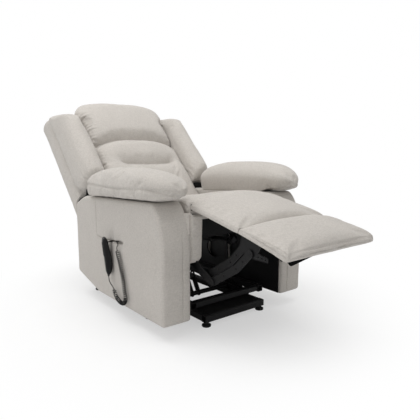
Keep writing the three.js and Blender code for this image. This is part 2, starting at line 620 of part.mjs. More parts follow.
function armShape(inset = 0) {
  const shape = new THREE.Shape();
  const front = ARM_FRONT_Y + inset;
  const bottom = ARM_BOTTOM_Z + inset;
  const rear = ARM_REAR_Y - inset;
  shape.moveTo(front, bottom);
  shape.lineTo(173, bottom);
  shape.lineTo(rear, 115 + inset);
  shape.lineTo(rear, 446);
  shape.quadraticCurveTo(rear, 470 - inset, 388, 478 - inset);
  shape.lineTo(350, 494 - inset);
  shape.quadraticCurveTo(318, 508 - inset, ARM_TOP_REAR[0], ARM_TOP_REAR[1] - inset);
  shape.lineTo(ARM_TOP_FRONT[0], ARM_TOP_FRONT[1] - inset);
  shape.bezierCurveTo(-374 + inset, 516, -396 + inset, 450, front - 4, 371);
  shape.lineTo(front, bottom);
  return shape;
}

function buildArm(side, name) {
  const width = ARM_OUTER_X - ARM_INNER_X;
  let body = sidePlateOn(side, armShape(), width, ARM_INNER_X, ARM_EDGE);
  // Battens inside the lining bolt the arm to the steel side plate.
  const battenInner = SIDE_PLATE_X + SIDE_PLATE_THICKNESS + GAP;
  const battens = BATTENS.map(([y0, y1]) =>
    box(side * battenInner, side * (ARM_INNER_X + 4), y0, y1, BATTEN_LOW_Z, BATTEN_HIGH_Z));
  body = join(body, ...battens);
  if (side < 0) {
    const mouth = polygon([[POCKET_FRONT_Y, POCKET_LOW_Z], [POCKET_REAR_Y, POCKET_LOW_Z],
      [POCKET_REAR_Y, POCKET_LIP_Z + 7], [33, POCKET_LIP_Z + 8], [-45, POCKET_LIP_Z + 15], [POCKET_FRONT_Y, POCKET_LIP_Z + 24]]);
    body = cut(body, sidePlate(mouth, POCKET_DEPTH + ARM_EDGE, -ARM_OUTER_X - ARM_EDGE));
    const grommet = new THREE.CylinderGeometry(5, 5, 4, 12);
    grommet.rotateZ(Math.PI / 2);
    grommet.translate(-ARM_OUTER_X + POCKET_DEPTH, CORD_EXIT.y, CORD_EXIT.z);
    body = join(body, grommet);
  }
  add(`arm_body_${name}`, body, SIDE_FABRIC);

  // Black lining on the inner side, cut round the battens and the seat.
  const liningShape = new THREE.Shape();
  liningShape.moveTo(ARM_FRONT_Y + 14, ARM_BOTTOM_Z + 4);
  liningShape.lineTo(168, ARM_BOTTOM_Z + 4);
  liningShape.lineTo(ARM_REAR_Y - 12, 122);
  liningShape.lineTo(ARM_REAR_Y - 12, 400);
  liningShape.lineTo(ARM_REAR_Y - 60, 428);
  liningShape.lineTo(ARM_FRONT_Y + 14, 428);
  const inner = ARM_INNER_X - LINING_THICKNESS - GAP;
  const windows = BATTENS.map(([y0, y1]) => box(side * (inner - 1), side * (ARM_INNER_X + 1),
    y0 - GAP, y1 + GAP, BATTEN_LOW_Z - GAP, BATTEN_HIGH_Z + GAP));
  add(`arm_lining_${name}`, cut(sidePlateOn(side, liningShape, LINING_THICKNESS, inner), ...windows), LINING);
}

// The pillow on top of the arm: it swells towards the front, hangs over the arm's front and
// outer side, and lies on the arm's sloping top.
function buildArmPad(side, name) {
  const rear = 226;
  const front = -424;
  const tipX = 316;              // the front end is rounded in plan towards its inner half
  const steps = 15;
  const rings = [];
  for (let i = 0; i <= steps; i += 1) {
    const t = 0.5 - 0.5 * Math.cos((i / steps) * Math.PI);
    const y = lerp(rear, front, t);
    const full = t < 0.5 ? roundedEnd(t, 0.13, 0.08, 2.4) : roundedEnd(t, 0.2, 0.1, 2.1);
    const onArm = lerp(ARM_TOP_REAR[1], ARM_TOP_FRONT[1],
      THREE.MathUtils.clamp((ARM_TOP_REAR[0] - y) / (ARM_TOP_REAR[0] - ARM_TOP_FRONT[0]), 0, 1.25));
    const overhang = THREE.MathUtils.clamp((ARM_TOP_FRONT[0] + 10 - y) / 154, 0, 1);
    const bottom = onArm + GAP + 26 * overhang ** 2;
    const crest = lerp(622, 672, smooth(THREE.MathUtils.clamp(t / 0.45, 0, 1))) - 26 * smooth(Math.max(0, (t - 0.72) / 0.28));
    const middle = lerp(bottom, crest, 0.46);
    const low = (middle - bottom) * lerp(0.5, 1, full);
    const high = (crest - middle) * full;
    const endX = t < 0.5 ? (PAD_INNER_X + PAD_OUTER_X) / 2 : tipX;
    const outerFull = t < 0.5 ? full : roundedEnd(t, 0.29, 0.1, 2.1);
    const widest = lerp(0.93, 1, smooth(t));
    const inner = lerp(endX, lerp(endX, PAD_INNER_X, widest), full);
    const outer = lerp(endX, lerp(endX, PAD_OUTER_X, widest), outerFull);
    const centreX = (inner + outer) / 2;
    const half = (outer - inner) / 2;
    rings.push(softRing(18, (u, v) => new THREE.Vector3(side * (centreX + u), y, middle + v), half, half, low, high, 2.5));
  }
  add(`arm_pad_${name}`, skin(rings), FABRIC);
}

// The pocket's front panel, standing off the recess so that a slit stays open above its lip.
function buildPocketPanel() {
  const low = POCKET_LOW_Z + POCKET_BOARD_PLAY;
  const front = POCKET_FRONT_Y + POCKET_BOARD_PLAY;
  const rear = POCKET_REAR_Y - POCKET_BOARD_PLAY;
  const outline = polygon([[front, low], [rear, low], [rear, POCKET_LIP_Z + 3], [100, POCKET_LIP_Z],
    [-66, POCKET_LIP_Z], [front, POCKET_LIP_Z + 6]]);
  add('pocket_panel', sidePlate(outline, POCKET_PANEL, -ARM_OUTER_X), SIDE_FABRIC);
}

// Fabric gussets that close the gap between arm and footrest; they gather up as it folds.
function buildGussets() {
  const outer = ARM_INNER_X - GAP;
  const middleY = ARM_FRONT_Y + 9;
  for (const [side, name] of [[1, 'left'], [-1, 'right']]) {
    const rings = Array.from({ length: 7 }, (_, i) => {
      const t = i / 6;
      const inner = i === 0 ? 216 : lerp(205, 199, smooth(t));
      const half = (outer - inner) / 2;
      return softRing(16, (u, v) => new THREE.Vector3(side * (outer - half + u), middleY + v, lerp(322, 484, t)),
        half, half, 4.5, 4.5, 3);
    });
    add(`gusset_${name}`, skin(rings), FABRIC);
  }
}

// ---------------------------------------------------------------- seat

function buildSeat() {
  for (const [side, name] of [[1, 'left'], [-1, 'right']]) {
    const [py, pz] = BACK_PIVOT;
    const shape = new THREE.Shape();
    shape.moveTo(-300, SEAT_RAIL_LOW);
    shape.lineTo(py - 6, SEAT_RAIL_LOW);
    shape.lineTo(py + 16, pz - 8);
    shape.absarc(py, pz, 18, -0.4, Math.PI - 0.5, false);
    shape.lineTo(py - 42, SEAT_RAIL_HIGH);
    shape.lineTo(-286, SEAT_RAIL_HIGH);
    shape.absarc(-286, SEAT_RAIL_HIGH - 14, 14, Math.PI / 2, Math.PI, false);
    const rail = sidePlateOn(side, shape, SIDE_PLATE_THICKNESS, SIDE_PLATE_X);
    const lug = sidePlateOn(side, linkShape([FOOT_PIVOT[0], SEAT_RAIL_LOW + 17], FOOT_PIVOT, 17), SIDE_PLATE_THICKNESS, SIDE_PLATE_X);
    const footHole = crossPin(FOOT_HUB_RADIUS + RUNNING_GAP, side * (SIDE_PLATE_X - 9), side * (SIDE_PLATE_X + 15), FOOT_PIVOT);
    const inner = side * (BACK_FRAME_X - 2);
    const backPin = crossPin(BACK_PIN_RADIUS, inner, side * (SIDE_PLATE_X + 2), BACK_PIVOT);
    add(`seat_rail_${name}`, cut(join(rail, lug, backPin), footHole), BLACK_STEEL);
  }

  const half = SIDE_PLATE_X - GAP;
  const railZ = [SEAT_RAIL_LOW + 8, SEAT_RAIL_HIGH];
  add('seat_front_rail', box(-half, half, SEAT_DECK_FRONT_Y, SEAT_DECK_FRONT_Y + SEAT_DECK_RAIL, ...railZ), WOOD);
  const rearRail = box(-half, half, SEAT_DECK_REAR_Y - SEAT_DECK_RAIL, SEAT_DECK_REAR_Y, ...railZ);
  const [ay, az] = RECLINE_ACTUATOR_BASE;
  const hangerShape = polygon([[ay - 11, az - 12], [ay + 11, az - 12], [SEAT_DECK_REAR_Y - 2, railZ[0] + 2],
    [SEAT_DECK_REAR_Y - SEAT_DECK_RAIL + 2, railZ[0] + 2]]);
  const hangers = [-1, 1].map((s) => sidePlate(hangerShape, EAR_THICKNESS, RECLINE_ACTUATOR_X + (s * EAR_SPACING - EAR_THICKNESS) / 2));
  const hangerPin = crossPin(ACTUATOR_PIN_RADIUS, RECLINE_ACTUATOR_X - 24, RECLINE_ACTUATOR_X + 24, RECLINE_ACTUATOR_BASE, 12);
  add('seat_rear_rail', join(rearRail, ...hangers, hangerPin), WOOD);

  add('seat_spring_mat', buildSpringMat(), BRIGHT_STEEL);
  add('seat_cushion', buildSeatCushion(), FABRIC);
}

// Sinuous springs from the front rail to the rear one, tied together by two cross wires.
function buildSpringMat() {
  const from = SEAT_DECK_FRONT_Y + SEAT_DECK_RAIL + GAP;
  const to = SEAT_DECK_REAR_Y - SEAT_DECK_RAIL - GAP;
  const wires = [];
  for (let n = 0; n < SPRING_COUNT; n += 1) {
    const x = (n - (SPRING_COUNT - 1) / 2) * SPRING_SPACING;
    const points = [new THREE.Vector3(x, from, SPRING_Z)];
    for (let i = 0; i <= SPRING_WAVES * 4; i += 1) {
      const t = i / (SPRING_WAVES * 4);
      points.push(new THREE.Vector3(x + SPRING_SWING * roundedEnd(t, 0.04, 0) * Math.sin(t * SPRING_WAVES * 2 * Math.PI),
        lerp(from + SPRING_LEAD, to - SPRING_LEAD, t), SPRING_Z + 6 * Math.sin(Math.PI * t)));
    }
    points.push(new THREE.Vector3(x, to, SPRING_Z));
    wires.push(roundTube(new THREE.CatmullRomCurve3(points), SPRING_WIRE_RADIUS, 4, SPRING_WAVES * 5));
  }
  for (const share of [0.33, 0.67]) {
    const half = ((SPRING_COUNT - 1) / 2) * SPRING_SPACING + SPRING_SWING;
    const z = SPRING_Z + 6 * Math.sin(Math.PI * share);
    wires.push(crossPin(1.6, -half, half, [lerp(from, to, share), z], 6));
  }
  return join(...wires);
}

function buildSeatCushion() {
  const bottom = SEAT_RAIL_HIGH + GAP;
  const middle = bottom + 34;
  const rings = SEAT_CROWN.map(([y, crown], i) => {
    const full = i === 0 || i === SEAT_CROWN.length - 1 ? 0.8 : 1;
    return softRing(24, (u, v) => new THREE.Vector3(u, y, middle + v),
      SEAT_HALF * lerp(0.97, 1, full), SEAT_HALF * lerp(0.97, 1, full), 34 * full, crown - middle, 5);
  });
  return skin(rings);
}

// ---------------------------------------------------------------- footrest

// A point in the side view at a distance along the board from its front edge and a height square to it.
const alongBoard = (s, lift) => {
  const a = radians(BOARD_SLOPE);
  return [BOARD_FRONT[0] + s * Math.cos(a) - lift * Math.sin(a), BOARD_FRONT[1] + s * Math.sin(a) + lift * Math.cos(a)];
};
const secondPivot = ([y, z]) => [y + FOOT_PIVOT_SPACING[0], z + FOOT_PIVOT_SPACING[1]];

// A pressed-steel link that sags between its two pivots.
function saggingLink(side, knee, tip, innerX) {
  const angle = radians(direction(knee, tip));
  const [y, z] = between(knee, tip, FOOT_LINK_ELBOW);
  const elbow = [y - Math.sin(angle) * FOOT_LINK_SAG, z + Math.cos(angle) * FOOT_LINK_SAG];
  const arms = [[knee, elbow], [elbow, tip]].map(([a, b]) =>
    sidePlateOn(side, linkShape(a, b, FOOT_LINK_HALF), FOOT_LINK_THICKNESS, innerX));
  const through = (radius, at, sides = 8) =>
    crossPin(radius, side * (innerX - 1), side * (innerX + FOOT_LINK_THICKNESS + 1), at, sides);
  return cut(join(...arms), through(FOOT_PIN_RADIUS + RUNNING_GAP, knee, 12), through(FOOT_PIN_RADIUS + RUNNING_GAP, tip, 12),
    through(3, elbow), through(3, between(knee, elbow, 0.5)), through(3, between(elbow, tip, 0.5)));
}

function buildFootrest() {
  const knee2 = secondPivot(FOOT_KNEE);
  const tip2 = secondPivot(FOOT_BOARD_PIVOT);
  for (const [side, name] of [[1, 'left'], [-1, 'right']]) {
    // rear link: hinged on the seat rail, with both knee pins at its far end
    const plate = sidePlateOn(side, hullShape([[...FOOT_PIVOT, FOOT_LINK_HALF + 2], [...FOOT_KNEE, FOOT_LINK_HALF - 1],
      [...knee2, FOOT_LINK_HALF - 1]]), FOOT_LINK_THICKNESS, REAR_LINK_X);
    const hub = crossPin(FOOT_HUB_RADIUS, side * (REAR_LINK_X + 1), side * (SIDE_PLATE_X + SIDE_PLATE_THICKNESS), FOOT_PIVOT);
    const outerEnd = side * (REAR_LINK_X + 2);
    const lowerPin = crossPin(FOOT_PIN_RADIUS, side * (LOWER_LINK_X - PIN_STANDOUT), outerEnd, FOOT_KNEE, 12);
    const upperPin = crossPin(FOOT_PIN_RADIUS, side * (UPPER_LINK_X - PIN_STANDOUT), outerEnd, knee2, 12);
    add(`footrest_rear_link_${name}`, join(plate, hub, lowerPin, upperPin), BLACK_STEEL);
    add(`footrest_lower_link_${name}`, saggingLink(side, FOOT_KNEE, FOOT_BOARD_PIVOT, LOWER_LINK_X), BLACK_STEEL);
    add(`footrest_upper_link_${name}`, saggingLink(side, knee2, tip2, UPPER_LINK_X), BLACK_STEEL);
  }

  // torque tube between the rear links, with the recline crank on it
  const tubeEnd = REAR_LINK_X - GAP;
  const cranks = [-1, 1].map((s) => slottedCrank(FOOT_PIVOT, RECLINE_CRANK_RADIUS, RECLINE_CRANK_ANGLE,
    RECLINE_SLOT_IN, RECLINE_SLOT_OUT, RECLINE_SLOT_PLAY, RECLINE_ACTUATOR_X + (s * EAR_SPACING) / 2));
  add('footrest_torque_tube', join(crossPin(FOOT_TUBE_RADIUS, -tubeEnd, tubeEnd, FOOT_PIVOT), ...cranks), BLACK_STEEL);

  // board with its pivot brackets, each with a strip of three holes towards the front
  const boardHalf = FOOT_HALF - BOARD_SIDE_INSET;
  const boardShape = polygon([alongBoard(0, 0), alongBoard(BOARD_LENGTH, 0), alongBoard(BOARD_LENGTH, BOARD_THICKNESS),
    alongBoard(0, BOARD_THICKNESS)]);
  const pieces = [sidePlate(boardShape, 2 * boardHalf, -boardHalf, 2)];
  const holes = [];
  const bracketShape = polygon([[128, 1], [132, -36], [86, -33], [84, -48], [150, -66], [212, -66], [224, -54], [222, 1]]
    .map(([s, lift]) => alongBoard(s, lift)));
  for (const side of [1, -1]) {
    const outer = side * (BOARD_BRACKET_X + FOOT_LINK_THICKNESS);
    pieces.push(sidePlateOn(side, bracketShape, FOOT_LINK_THICKNESS, BOARD_BRACKET_X));
    pieces.push(crossPin(FOOT_PIN_RADIUS, side * (BOARD_BRACKET_X + 1),
      side * (LOWER_LINK_X + FOOT_LINK_THICKNESS + PIN_STANDOUT), FOOT_BOARD_PIVOT, 12));
    pieces.push(crossPin(FOOT_PIN_RADIUS, outer - side, side * (UPPER_LINK_X - PIN_STANDOUT), tip2, 12));
    for (const s of [93, 110, 127]) {
      holes.push(crossPin(3, side * (BOARD_BRACKET_X - 1), outer + side, alongBoard(s, lerp(-41, -47, (s - 93) / 34)), 10));
    }
  }
  add('footrest_board', cut(join(...pieces), ...holes), BLACK_STEEL);
  add('footrest_pad', buildBoardPad(FOOT_PAD), FABRIC);
  add('chaise_pad', buildBoardPad(CHAISE_PAD), FABRIC);
}

// A pad over the footrest whose underside and crown follow a profile along the board.
function buildBoardPad(profile) {
  return skin(profile.map(([s, low, high], i) => {
    const end = i === 0 || i === profile.length - 1 ? 0.72 : 1;
    const half = FOOT_HALF * lerp(0.94, 1, end);
    const middle = (low + high) / 2;
    const reach = ((high - low) / 2) * end;
    return softRing(24, (u, v) => {
      const [y, z] = alongBoard(s, middle + v);
      return new THREE.Vector3(u, y, z);
    }, half, half, reach, reach, 4);
  }));
}

// ---------------------------------------------------------------- backrest

const back = new THREE.Group();
back.position.set(0, BACK_PIVOT[0], BACK_PIVOT[1]);
back.rotation.x = -radians(BACK_LEAN);

// Back-frame points are (forward, up) from the hinge; local Y points rearwards.
const backPoint = (x, forward, up) => new THREE.Vector3(x, -forward, up);

function buildBackFrame() {
  const [rear, front] = BACK_FRAME_DEPTH;
  for (const [side, name] of [[1, 'left'], [-1, 'right']]) {
    const shape = new THREE.Shape();
    shape.moveTo(-rear, BACK_FRAME_LOW + 30);
    shape.lineTo(-rear, BACK_FRAME_HIGH);
    shape.lineTo(-front, BACK_FRAME_HIGH);
    shape.lineTo(-front, 40);
    shape.lineTo(10, 18);
    shape.absarc(0, 0, 19, Math.PI / 3, -Math.PI / 2, false);
    shape.lineTo(-front, BACK_FRAME_LOW);
    shape.lineTo(-rear - 30, BACK_FRAME_LOW);
    shape.lineTo(-rear, BACK_FRAME_LOW + 30);
    const plate = sidePlateOn(side, shape, BACK_FRAME_THICKNESS, BACK_FRAME_X);
    const hole = crossPin(BACK_PIN_RADIUS + RUNNING_GAP, side * (BACK_FRAME_X - 5), side * (BACK_FRAME_X + 12), [0, 0]);
    add(`back_frame_${name}`, cut(plate, hole), BLACK_STEEL, back);
  }
  const half = BACK_FRAME_X - GAP;
  add('back_top_rail', box(-half, half, -front + 6, -rear - 6, BACK_FRAME_HIGH - 40, BACK_FRAME_HIGH - 6), WOOD, back);
  add('back_bottom_rail', box(-half, half, -front + 6, -rear - 6, 40, 74), WOOD, back);
  const panel = (halfWidth, low, high) =>
    box(-halfWidth, halfWidth, -rear + GAP, -rear + GAP + BACK_PANEL_THICKNESS, low, high);
  add('back_panel', join(panel(WING_INNER_X - GAP, WING_LOW, BACK_FRAME_HIGH + 6),
    panel(ARM_INNER_X - 11, BACK_FRAME_LOW + 32, WING_LOW + 1)), SIDE_FABRIC, back);
}

// Front surface of the middle cushion: lumbar part, bolster and head pillow, parted by two channels.
function backFront(x, up) {
  const across = Math.abs(x) / BACK_CUSHION_HALF;
  const seam = lerp(452, 385, across ** 2);
  const channel = 262;
  const groove = (d, depth, width) => depth * Math.exp(-((d / width) ** 2));
  const low = THREE.MathUtils.clamp(up / channel, 0, 1);
  let forward = up < channel ? lerp(50, 66, Math.sin(low * Math.PI * 0.8)) : 62;
  forward += 26 * (1 - across ** 2) * THREE.MathUtils.smoothstep(up, 0, 120);
  forward -= groove(up - seam, 34, 22);
  forward -= groove(up - channel, 26, 20) * (1 - THREE.MathUtils.smoothstep(across, 0.75, 1));
  forward -= 18 * smooth(THREE.MathUtils.clamp((up - 680) / 76, 0, 1));
  return forward;
}

function buildBackCushion() {
  const ups = [-16, 0, 30, 80, 140, 200, 235, 262, 290, 340, 400, 425, 450, 475, 510, 570, 630, 682, 720, 746, 757];
  const columns = 14;
  const rings = ups.map((up, r) => {
    const t = r / (ups.length - 1);
    const end = r === 0 ? 0.55 : r === 1 ? 0.92 : up > 708 ? Math.sqrt(Math.max(0.05, 1 - ((up - 708) / 51) ** 2)) : 1;
    const half = (up < 150 ? lerp(BACK_CUSHION_HALF - 3, BACK_CUSHION_HALF, up / 150) : BACK_CUSHION_HALF)
      - 14 * (1 - Math.min(1, end * 1.1));
    // The head pillow's sides swell out over the wings.
    const swell = 32 * smooth(THREE.MathUtils.clamp((up - 640) / 40, 0, 1)) * end;
    const ring = [];
    for (let i = 0; i <= columns; i += 1) {
      const a = -Math.cos((i / columns) * Math.PI);
      const edge = (1 - Math.abs(a) ** 5) ** 0.4;
      const front = backFront(a * half, Math.max(0, up));
      const outward = Math.abs(a) > 0.99 ? 0 : swell * Math.sign(a) * smooth(THREE.MathUtils.clamp((Math.abs(a) - 0.5) / 0.4, 0, 1));
      ring.push(backPoint(a * half + outward, lerp(0, front, Math.max(edge * end, 0.15 * t)), up));
    }
    const rearAt = BACK_CUSHION_REAR;
    ring.push(backPoint(half, rearAt * 0.5, up));
    ring.push(backPoint(half - 8, rearAt * lerp(0.7, 1, end), up));
    ring.push(backPoint(0, rearAt * lerp(0.7, 1, end), up));
    ring.push(backPoint(-half + 8, rearAt * lerp(0.7, 1, end), up));
    ring.push(backPoint(-half, rearAt * 0.5, up));
    return ring;
  });
  // Notches at the lower corners clear the hinge and the ends of the seat rails.
  const notches = [-1, 1].map((s) => box(s * (BACK_FRAME_X - 5), s * (BACK_CUSHION_HALF + 10), -34, 80, -40, 46));
  add('back_cushion', cut(skin(rings), ...notches), FABRIC, back);
}

// The side wings stand proud of the middle cushion, and their lower ends clear the arms.
function buildWing(side, name) {
  // section as [x, forward, how far its top lies below the crest, under the head pillow's side]
  const section = [
    [WING_INNER_X, 0, 34], [WING_INNER_X + 2, 52, 34], [282, 92, 16], [310, 118], [340, 122], [366, 104], [383, 64],
    [WING_OUTER_X, 10], [WING_OUTER_X, -50], [388, -110], [384, -160], [374, -190],
    [345, -196], [300, -196], [WING_INNER_X, -195], [WING_INNER_X, -110], [WING_INNER_X, -50],
  ];
  // The crest drops steadily from the rear to the front: [forward, up].
  const crest = [[-196, 770], [-120, 758], [-60, 728], [-20, 704], [20, 668], [60, 632], [100, 598], [124, 540]];
  const crestAt = (forward) => {
    const k = Math.max(1, crest.findIndex(([f]) => f >= forward));
    const [[f0, u0], [f1, u1]] = [crest[k - 1], crest[k]];
    return lerp(u0, u1, (forward - f0) / (f1 - f0));
  };
  const rounding = 33;           // of the crest's edges
  const centreX = 325;
  const centreForward = -45;
  const upright = [0, 0.2, 0.42, 0.64, 0.85, 1].map((t) => section.map(([x, forward, below = 0]) =>
    backPoint(side * x, forward, lerp(WING_LOW - 24, crestAt(forward) - rounding - below, t))));
  const cap = [0.93, 0.82, 0.65, 0.4].map((full) => section.map(([x, forward, below = 0]) => {
    const at = lerp(centreForward, forward, full);
    return backPoint(side * lerp(centreX, x, lerp(full, 1, x <= WING_INNER_X ? 0.8 : 0)), at,
      crestAt(at) - rounding * (1 - Math.sqrt(1 - full ** 2)) - below * full);
  }));
  const rings = [...upright, ...cap];
  const clearOfArm = sidePlate(polygon([[-160, 0], [240, 0], [240, WING_LOW], [190, WING_LOW], [152, 124], [104, 155],
    [54, 143], [22, 122], [0, 118], [-50, 140], [-100, 155], [-160, 158]]), 2 * (WING_OUTER_X + 20), -WING_OUTER_X - 20);
  add(`back_wing_${name}`, cut(skin(rings), clearOfArm), FABRIC, back);
}

// ---------------------------------------------------------------- handset and cord

// Where the cord leaves the pocket's inner wall.
const CORD_EXIT = { x: -ARM_OUTER_X + POCKET_DEPTH - 2 - GAP, y: -24, z: POCKET_LIP_Z + 7 };

const handset = new THREE.Group();
handset.position.set(...HANDSET_AT);
// local X runs through the thickness towards the keys, local Y across, local Z up
handset.rotation.set(0, radians(HANDSET_LEAN), Math.PI - radians(HANDSET_TURN), 'ZYX');
handset.updateMatrixWorld();

function buildHandset() {
  const outline = new THREE.Shape();
  outline.moveTo(2, 84);
  outline.quadraticCurveTo(12, 80, 12, 66);
  outline.lineTo(9, -70);
  outline.quadraticCurveTo(8, -82, 1, -84);
  outline.lineTo(-5, -84);
  outline.bezierCurveTo(-14, -78, -20, -52, -20, -16);
  outline.bezierCurveTo(-20, 12, -13, 40, -11, 68);
  outline.quadraticCurveTo(-8, 82, 2, 84);
  const rounding = 5;
  const shell = new THREE.ExtrudeGeometry(outline, {
    depth: HANDSET_WIDTH - 2 * rounding, bevelEnabled: true, bevelThickness: rounding, bevelSize: 4, bevelOffset: -4,
    bevelSegments: 1, curveSegments: 5 });
  shell.applyMatrix4(new THREE.Matrix4().makeBasis(
    new THREE.Vector3(1, 0, 0), new THREE.Vector3(0, 0, 1), new THREE.Vector3(0, -1, 0)));
  shell.translate(0, HANDSET_WIDTH / 2 - rounding, 0);
  const nub = new THREE.CylinderGeometry(6, 4, 16, 10);
  nub.rotateX(Math.PI / 2);
  nub.translate(0, 0, -86);

  // wide keys, one above the other, each in its own well
  const wells = [];
  const faceX = (z) => lerp(9, 12, (z + 70) / 136);
  const wellDepth = 4;
  const [keyWidth, keyHeight] = BUTTON_SIZE;
  BUTTON_HEIGHTS.forEach((z, i) => {
    const well = new THREE.BoxGeometry(10, keyWidth + 2 * RUNNING_GAP, keyHeight + 2 * RUNNING_GAP);
    well.translate(faceX(z) - wellDepth + 5, 0, z);
    wells.push(well);
    const button = new THREE.BoxGeometry(5, keyWidth, keyHeight);
    button.translate(faceX(z) - wellDepth + BUTTON_TRAVEL + GAP + 2.5, 0, z);
    add(`handset_button_${i + 1}`, button, KEY_PLASTIC, handset);
  });

  // The hook leaves the back of the handset, lies on the pocket's lip and drops behind the panel.
  const toHandset = handset.matrixWorld.clone().invert();
  const hookLow = POCKET_LIP_Z + GAP;
  const hookEnd = -ARM_OUTER_X + POCKET_PANEL + RUNNING_GAP + HOOK_THICKNESS;
  const hookY = HANDSET_AT[1];
  const hook = [
    box(HANDSET_AT[0], hookEnd, hookY - 6, hookY + 6, hookLow, hookLow + HOOK_THICKNESS),
    box(hookEnd - HOOK_THICKNESS, hookEnd, hookY - 6, hookY + 6, hookLow - 28, hookLow + 1),
  ].map((piece) => piece.applyMatrix4(toHandset));
  add('handset_housing', cut(join(shell, nub, ...hook), ...wells), BLACK_PLASTIC, handset);
}

// The curly middle of the cord: one helix about a smooth centre line, with short straight ends.
class CurlyCord extends THREE.Curve {
  constructor(centre, curls, radius, lead) {
    super();
    this.centre = centre;
    this.curls = curls;
    this.radius = radius;
    this.lead = lead;
    this.frames = centre.computeFrenetFrames(400, false);
  }

  getPoint(t, target = new THREE.Vector3()) {
    const at = this.centre.getPointAt(t);
    const k = Math.min(400, Math.round(t * 400));
    const normal = this.frames.normals[k];
    const binormal = this.frames.binormals[k];
    const swell = Math.min(1, Math.max(0, (Math.min(t, 1 - t) - this.lead) / this.lead));
    const angle = t * this.curls * 2 * Math.PI;
    return target.copy(at)
      .addScaledVector(normal, this.radius * smooth(swell) * Math.cos(angle))
      .addScaledVector(binormal, this.radius * smooth(swell) * Math.sin(angle));
  }
}

// Least distance between the cord's surface and itself, on points more than half a curl apart.
function leastGap(points, skip, diameter) {
  let least = Infinity;
  for (let i = 0; i < points.length; i += 1) {
    for (let j = i + skip; j < points.length; j += 1) {
      least = Math.min(least, points[i].distanceTo(points[j]));
    }
  }
  return least - diameter;
}

// Rings of a tube about a helix, each square to the cord.
function curlyTube(curve, steps, sides, radius) {
  const rings = [];
  const up = new THREE.Vector3(1, 0, 0);
  for (let i = 0; i <= steps; i += 1) {
    const t = i / steps;
    const at = curve.getPoint(t);
    const h = 0.25 / steps;
    const tangent = curve.getPoint(Math.min(1, t + h)).sub(curve.getPoint(Math.max(0, t - h))).normalize();
    up.sub(tangent.clone().multiplyScalar(up.dot(tangent))).normalize();
    const side = new THREE.Vector3().crossVectors(tangent, up);
    rings.push(Array.from({ length: sides }, (_, k) => {
      const angle = (k / sides) * 2 * Math.PI;
      return at.clone().addScaledVector(up, radius * Math.cos(angle)).addScaledVector(side, radius * Math.sin(angle));
    }));
  }
  return skin(rings);
}

function buildCord() {
  const V = (x, y, z) => new THREE.Vector3(x, y, z);
  const along = (from, way, reach) => from.clone().addScaledVector(way, reach);
  const nubEnd = V(0, 0, -94).applyMatrix4(handset.matrixWorld);
  const nubWay = V(0, 0, -1).transformDirection(handset.matrixWorld);
  const coilStart = V(-413, -27, 134);
  const coilStartWay = V(0, -0.8, -0.6);
  const coilEnd = V(-410, -68, 318);
  const coilEndWay = V(0, 0.1, 1).normalize();
  const lower = new THREE.CatmullRomCurve3([
    along(nubEnd, nubWay, GAP), along(nubEnd, nubWay, 8), V(-418, -1, 160), V(-415, -9, 147),
    along(coilStart, coilStartWay, -7), coilStart]);
  add('cord_lower', roundTube(lower, CORD_RADIUS, CORD_SIDES, 12), CORD_RUBBER);

  const middle = new THREE.CatmullRomCurve3([
    along(coilStart, coilStartWay, GAP), along(coilStart, coilStartWay, 9), V(-412, -42, 112), V(-412, -62, 94),
    V(-412, -98, 84), V(-412, -127, 92), V(-412, -137, 118), V(-412, -128, 153), V(-412, -116, 206),
    V(-412, -102, 243), V(-411, -85, 281), along(coilEnd, coilEndWay, -9), along(coilEnd, coilEndWay, -GAP)],
  false, 'centripetal');
  const curly = new CurlyCord(middle, CURL_COUNT, CURL_RADIUS - CORD_RADIUS, 0.018);
  add('curly_cord', curlyTube(curly, CURL_COUNT * 8, 5, CORD_RADIUS), CORD_RUBBER);
  const samples = Array.from({ length: CURL_COUNT * 8 + 1 }, (_, i) => curly.getPoint(i / (CURL_COUNT * 8)));
  console.log(`curly cord: length along its centre ${middle.getLength().toFixed(0)} mm, least gap to itself `
    + `${leastGap(samples, 5, 2 * CORD_RADIUS).toFixed(2)} mm`);

  const upper = new THREE.CatmullRomCurve3([
    coilEnd, along(coilEnd, coilEndWay, 7), V(-408, -74, 335), V(-407, -68, 344), V(-404, -52, 346),
    V(-398, -36, 342), V(CORD_EXIT.x - 6, CORD_EXIT.y, CORD_EXIT.z), V(CORD_EXIT.x, CORD_EXIT.y, CORD_EXIT.z)]);
  add('cord_upper', roundTube(upper, CORD_RADIUS, CORD_SIDES, 18), CORD_RUBBER);
}

// ---------------------------------------------------------------- assembly

buildBase();
buildLiftLinks();
buildActuators();
buildChairFrame();
for (const [side, name] of [[1, 'left'], [-1, 'right']]) {
  buildArm(side, name);
  buildArmPad(side, name);
}
buildPocketPanel();
buildGussets();
buildSeat();
buildFootrest();
chair.add(back, handset);
buildBackFrame();
buildBackCushion();
for (const [side, name] of [[1, 'left'], [-1, 'right']]) buildWing(side, name);
buildHandset();
buildCord();

export default chair;
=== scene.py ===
# %% [markdown]
# # A lift recliner, dressed in fabric
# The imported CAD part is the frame: its steel, its joints and its sizes stay as they are.
# This script adds what the eye looks for: stuffed pads, sewn channels, tucks, woven cloth,
# powder-coated steel, a curly cord and soft light. All lengths in the pieces below are
# written in millimetres, as on a drawing, and turned into metres when a mesh is made.

# %% The frame and the helpers' imports
import json
import math
import bpy
import bmesh
import numpy as np
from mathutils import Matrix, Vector, noise


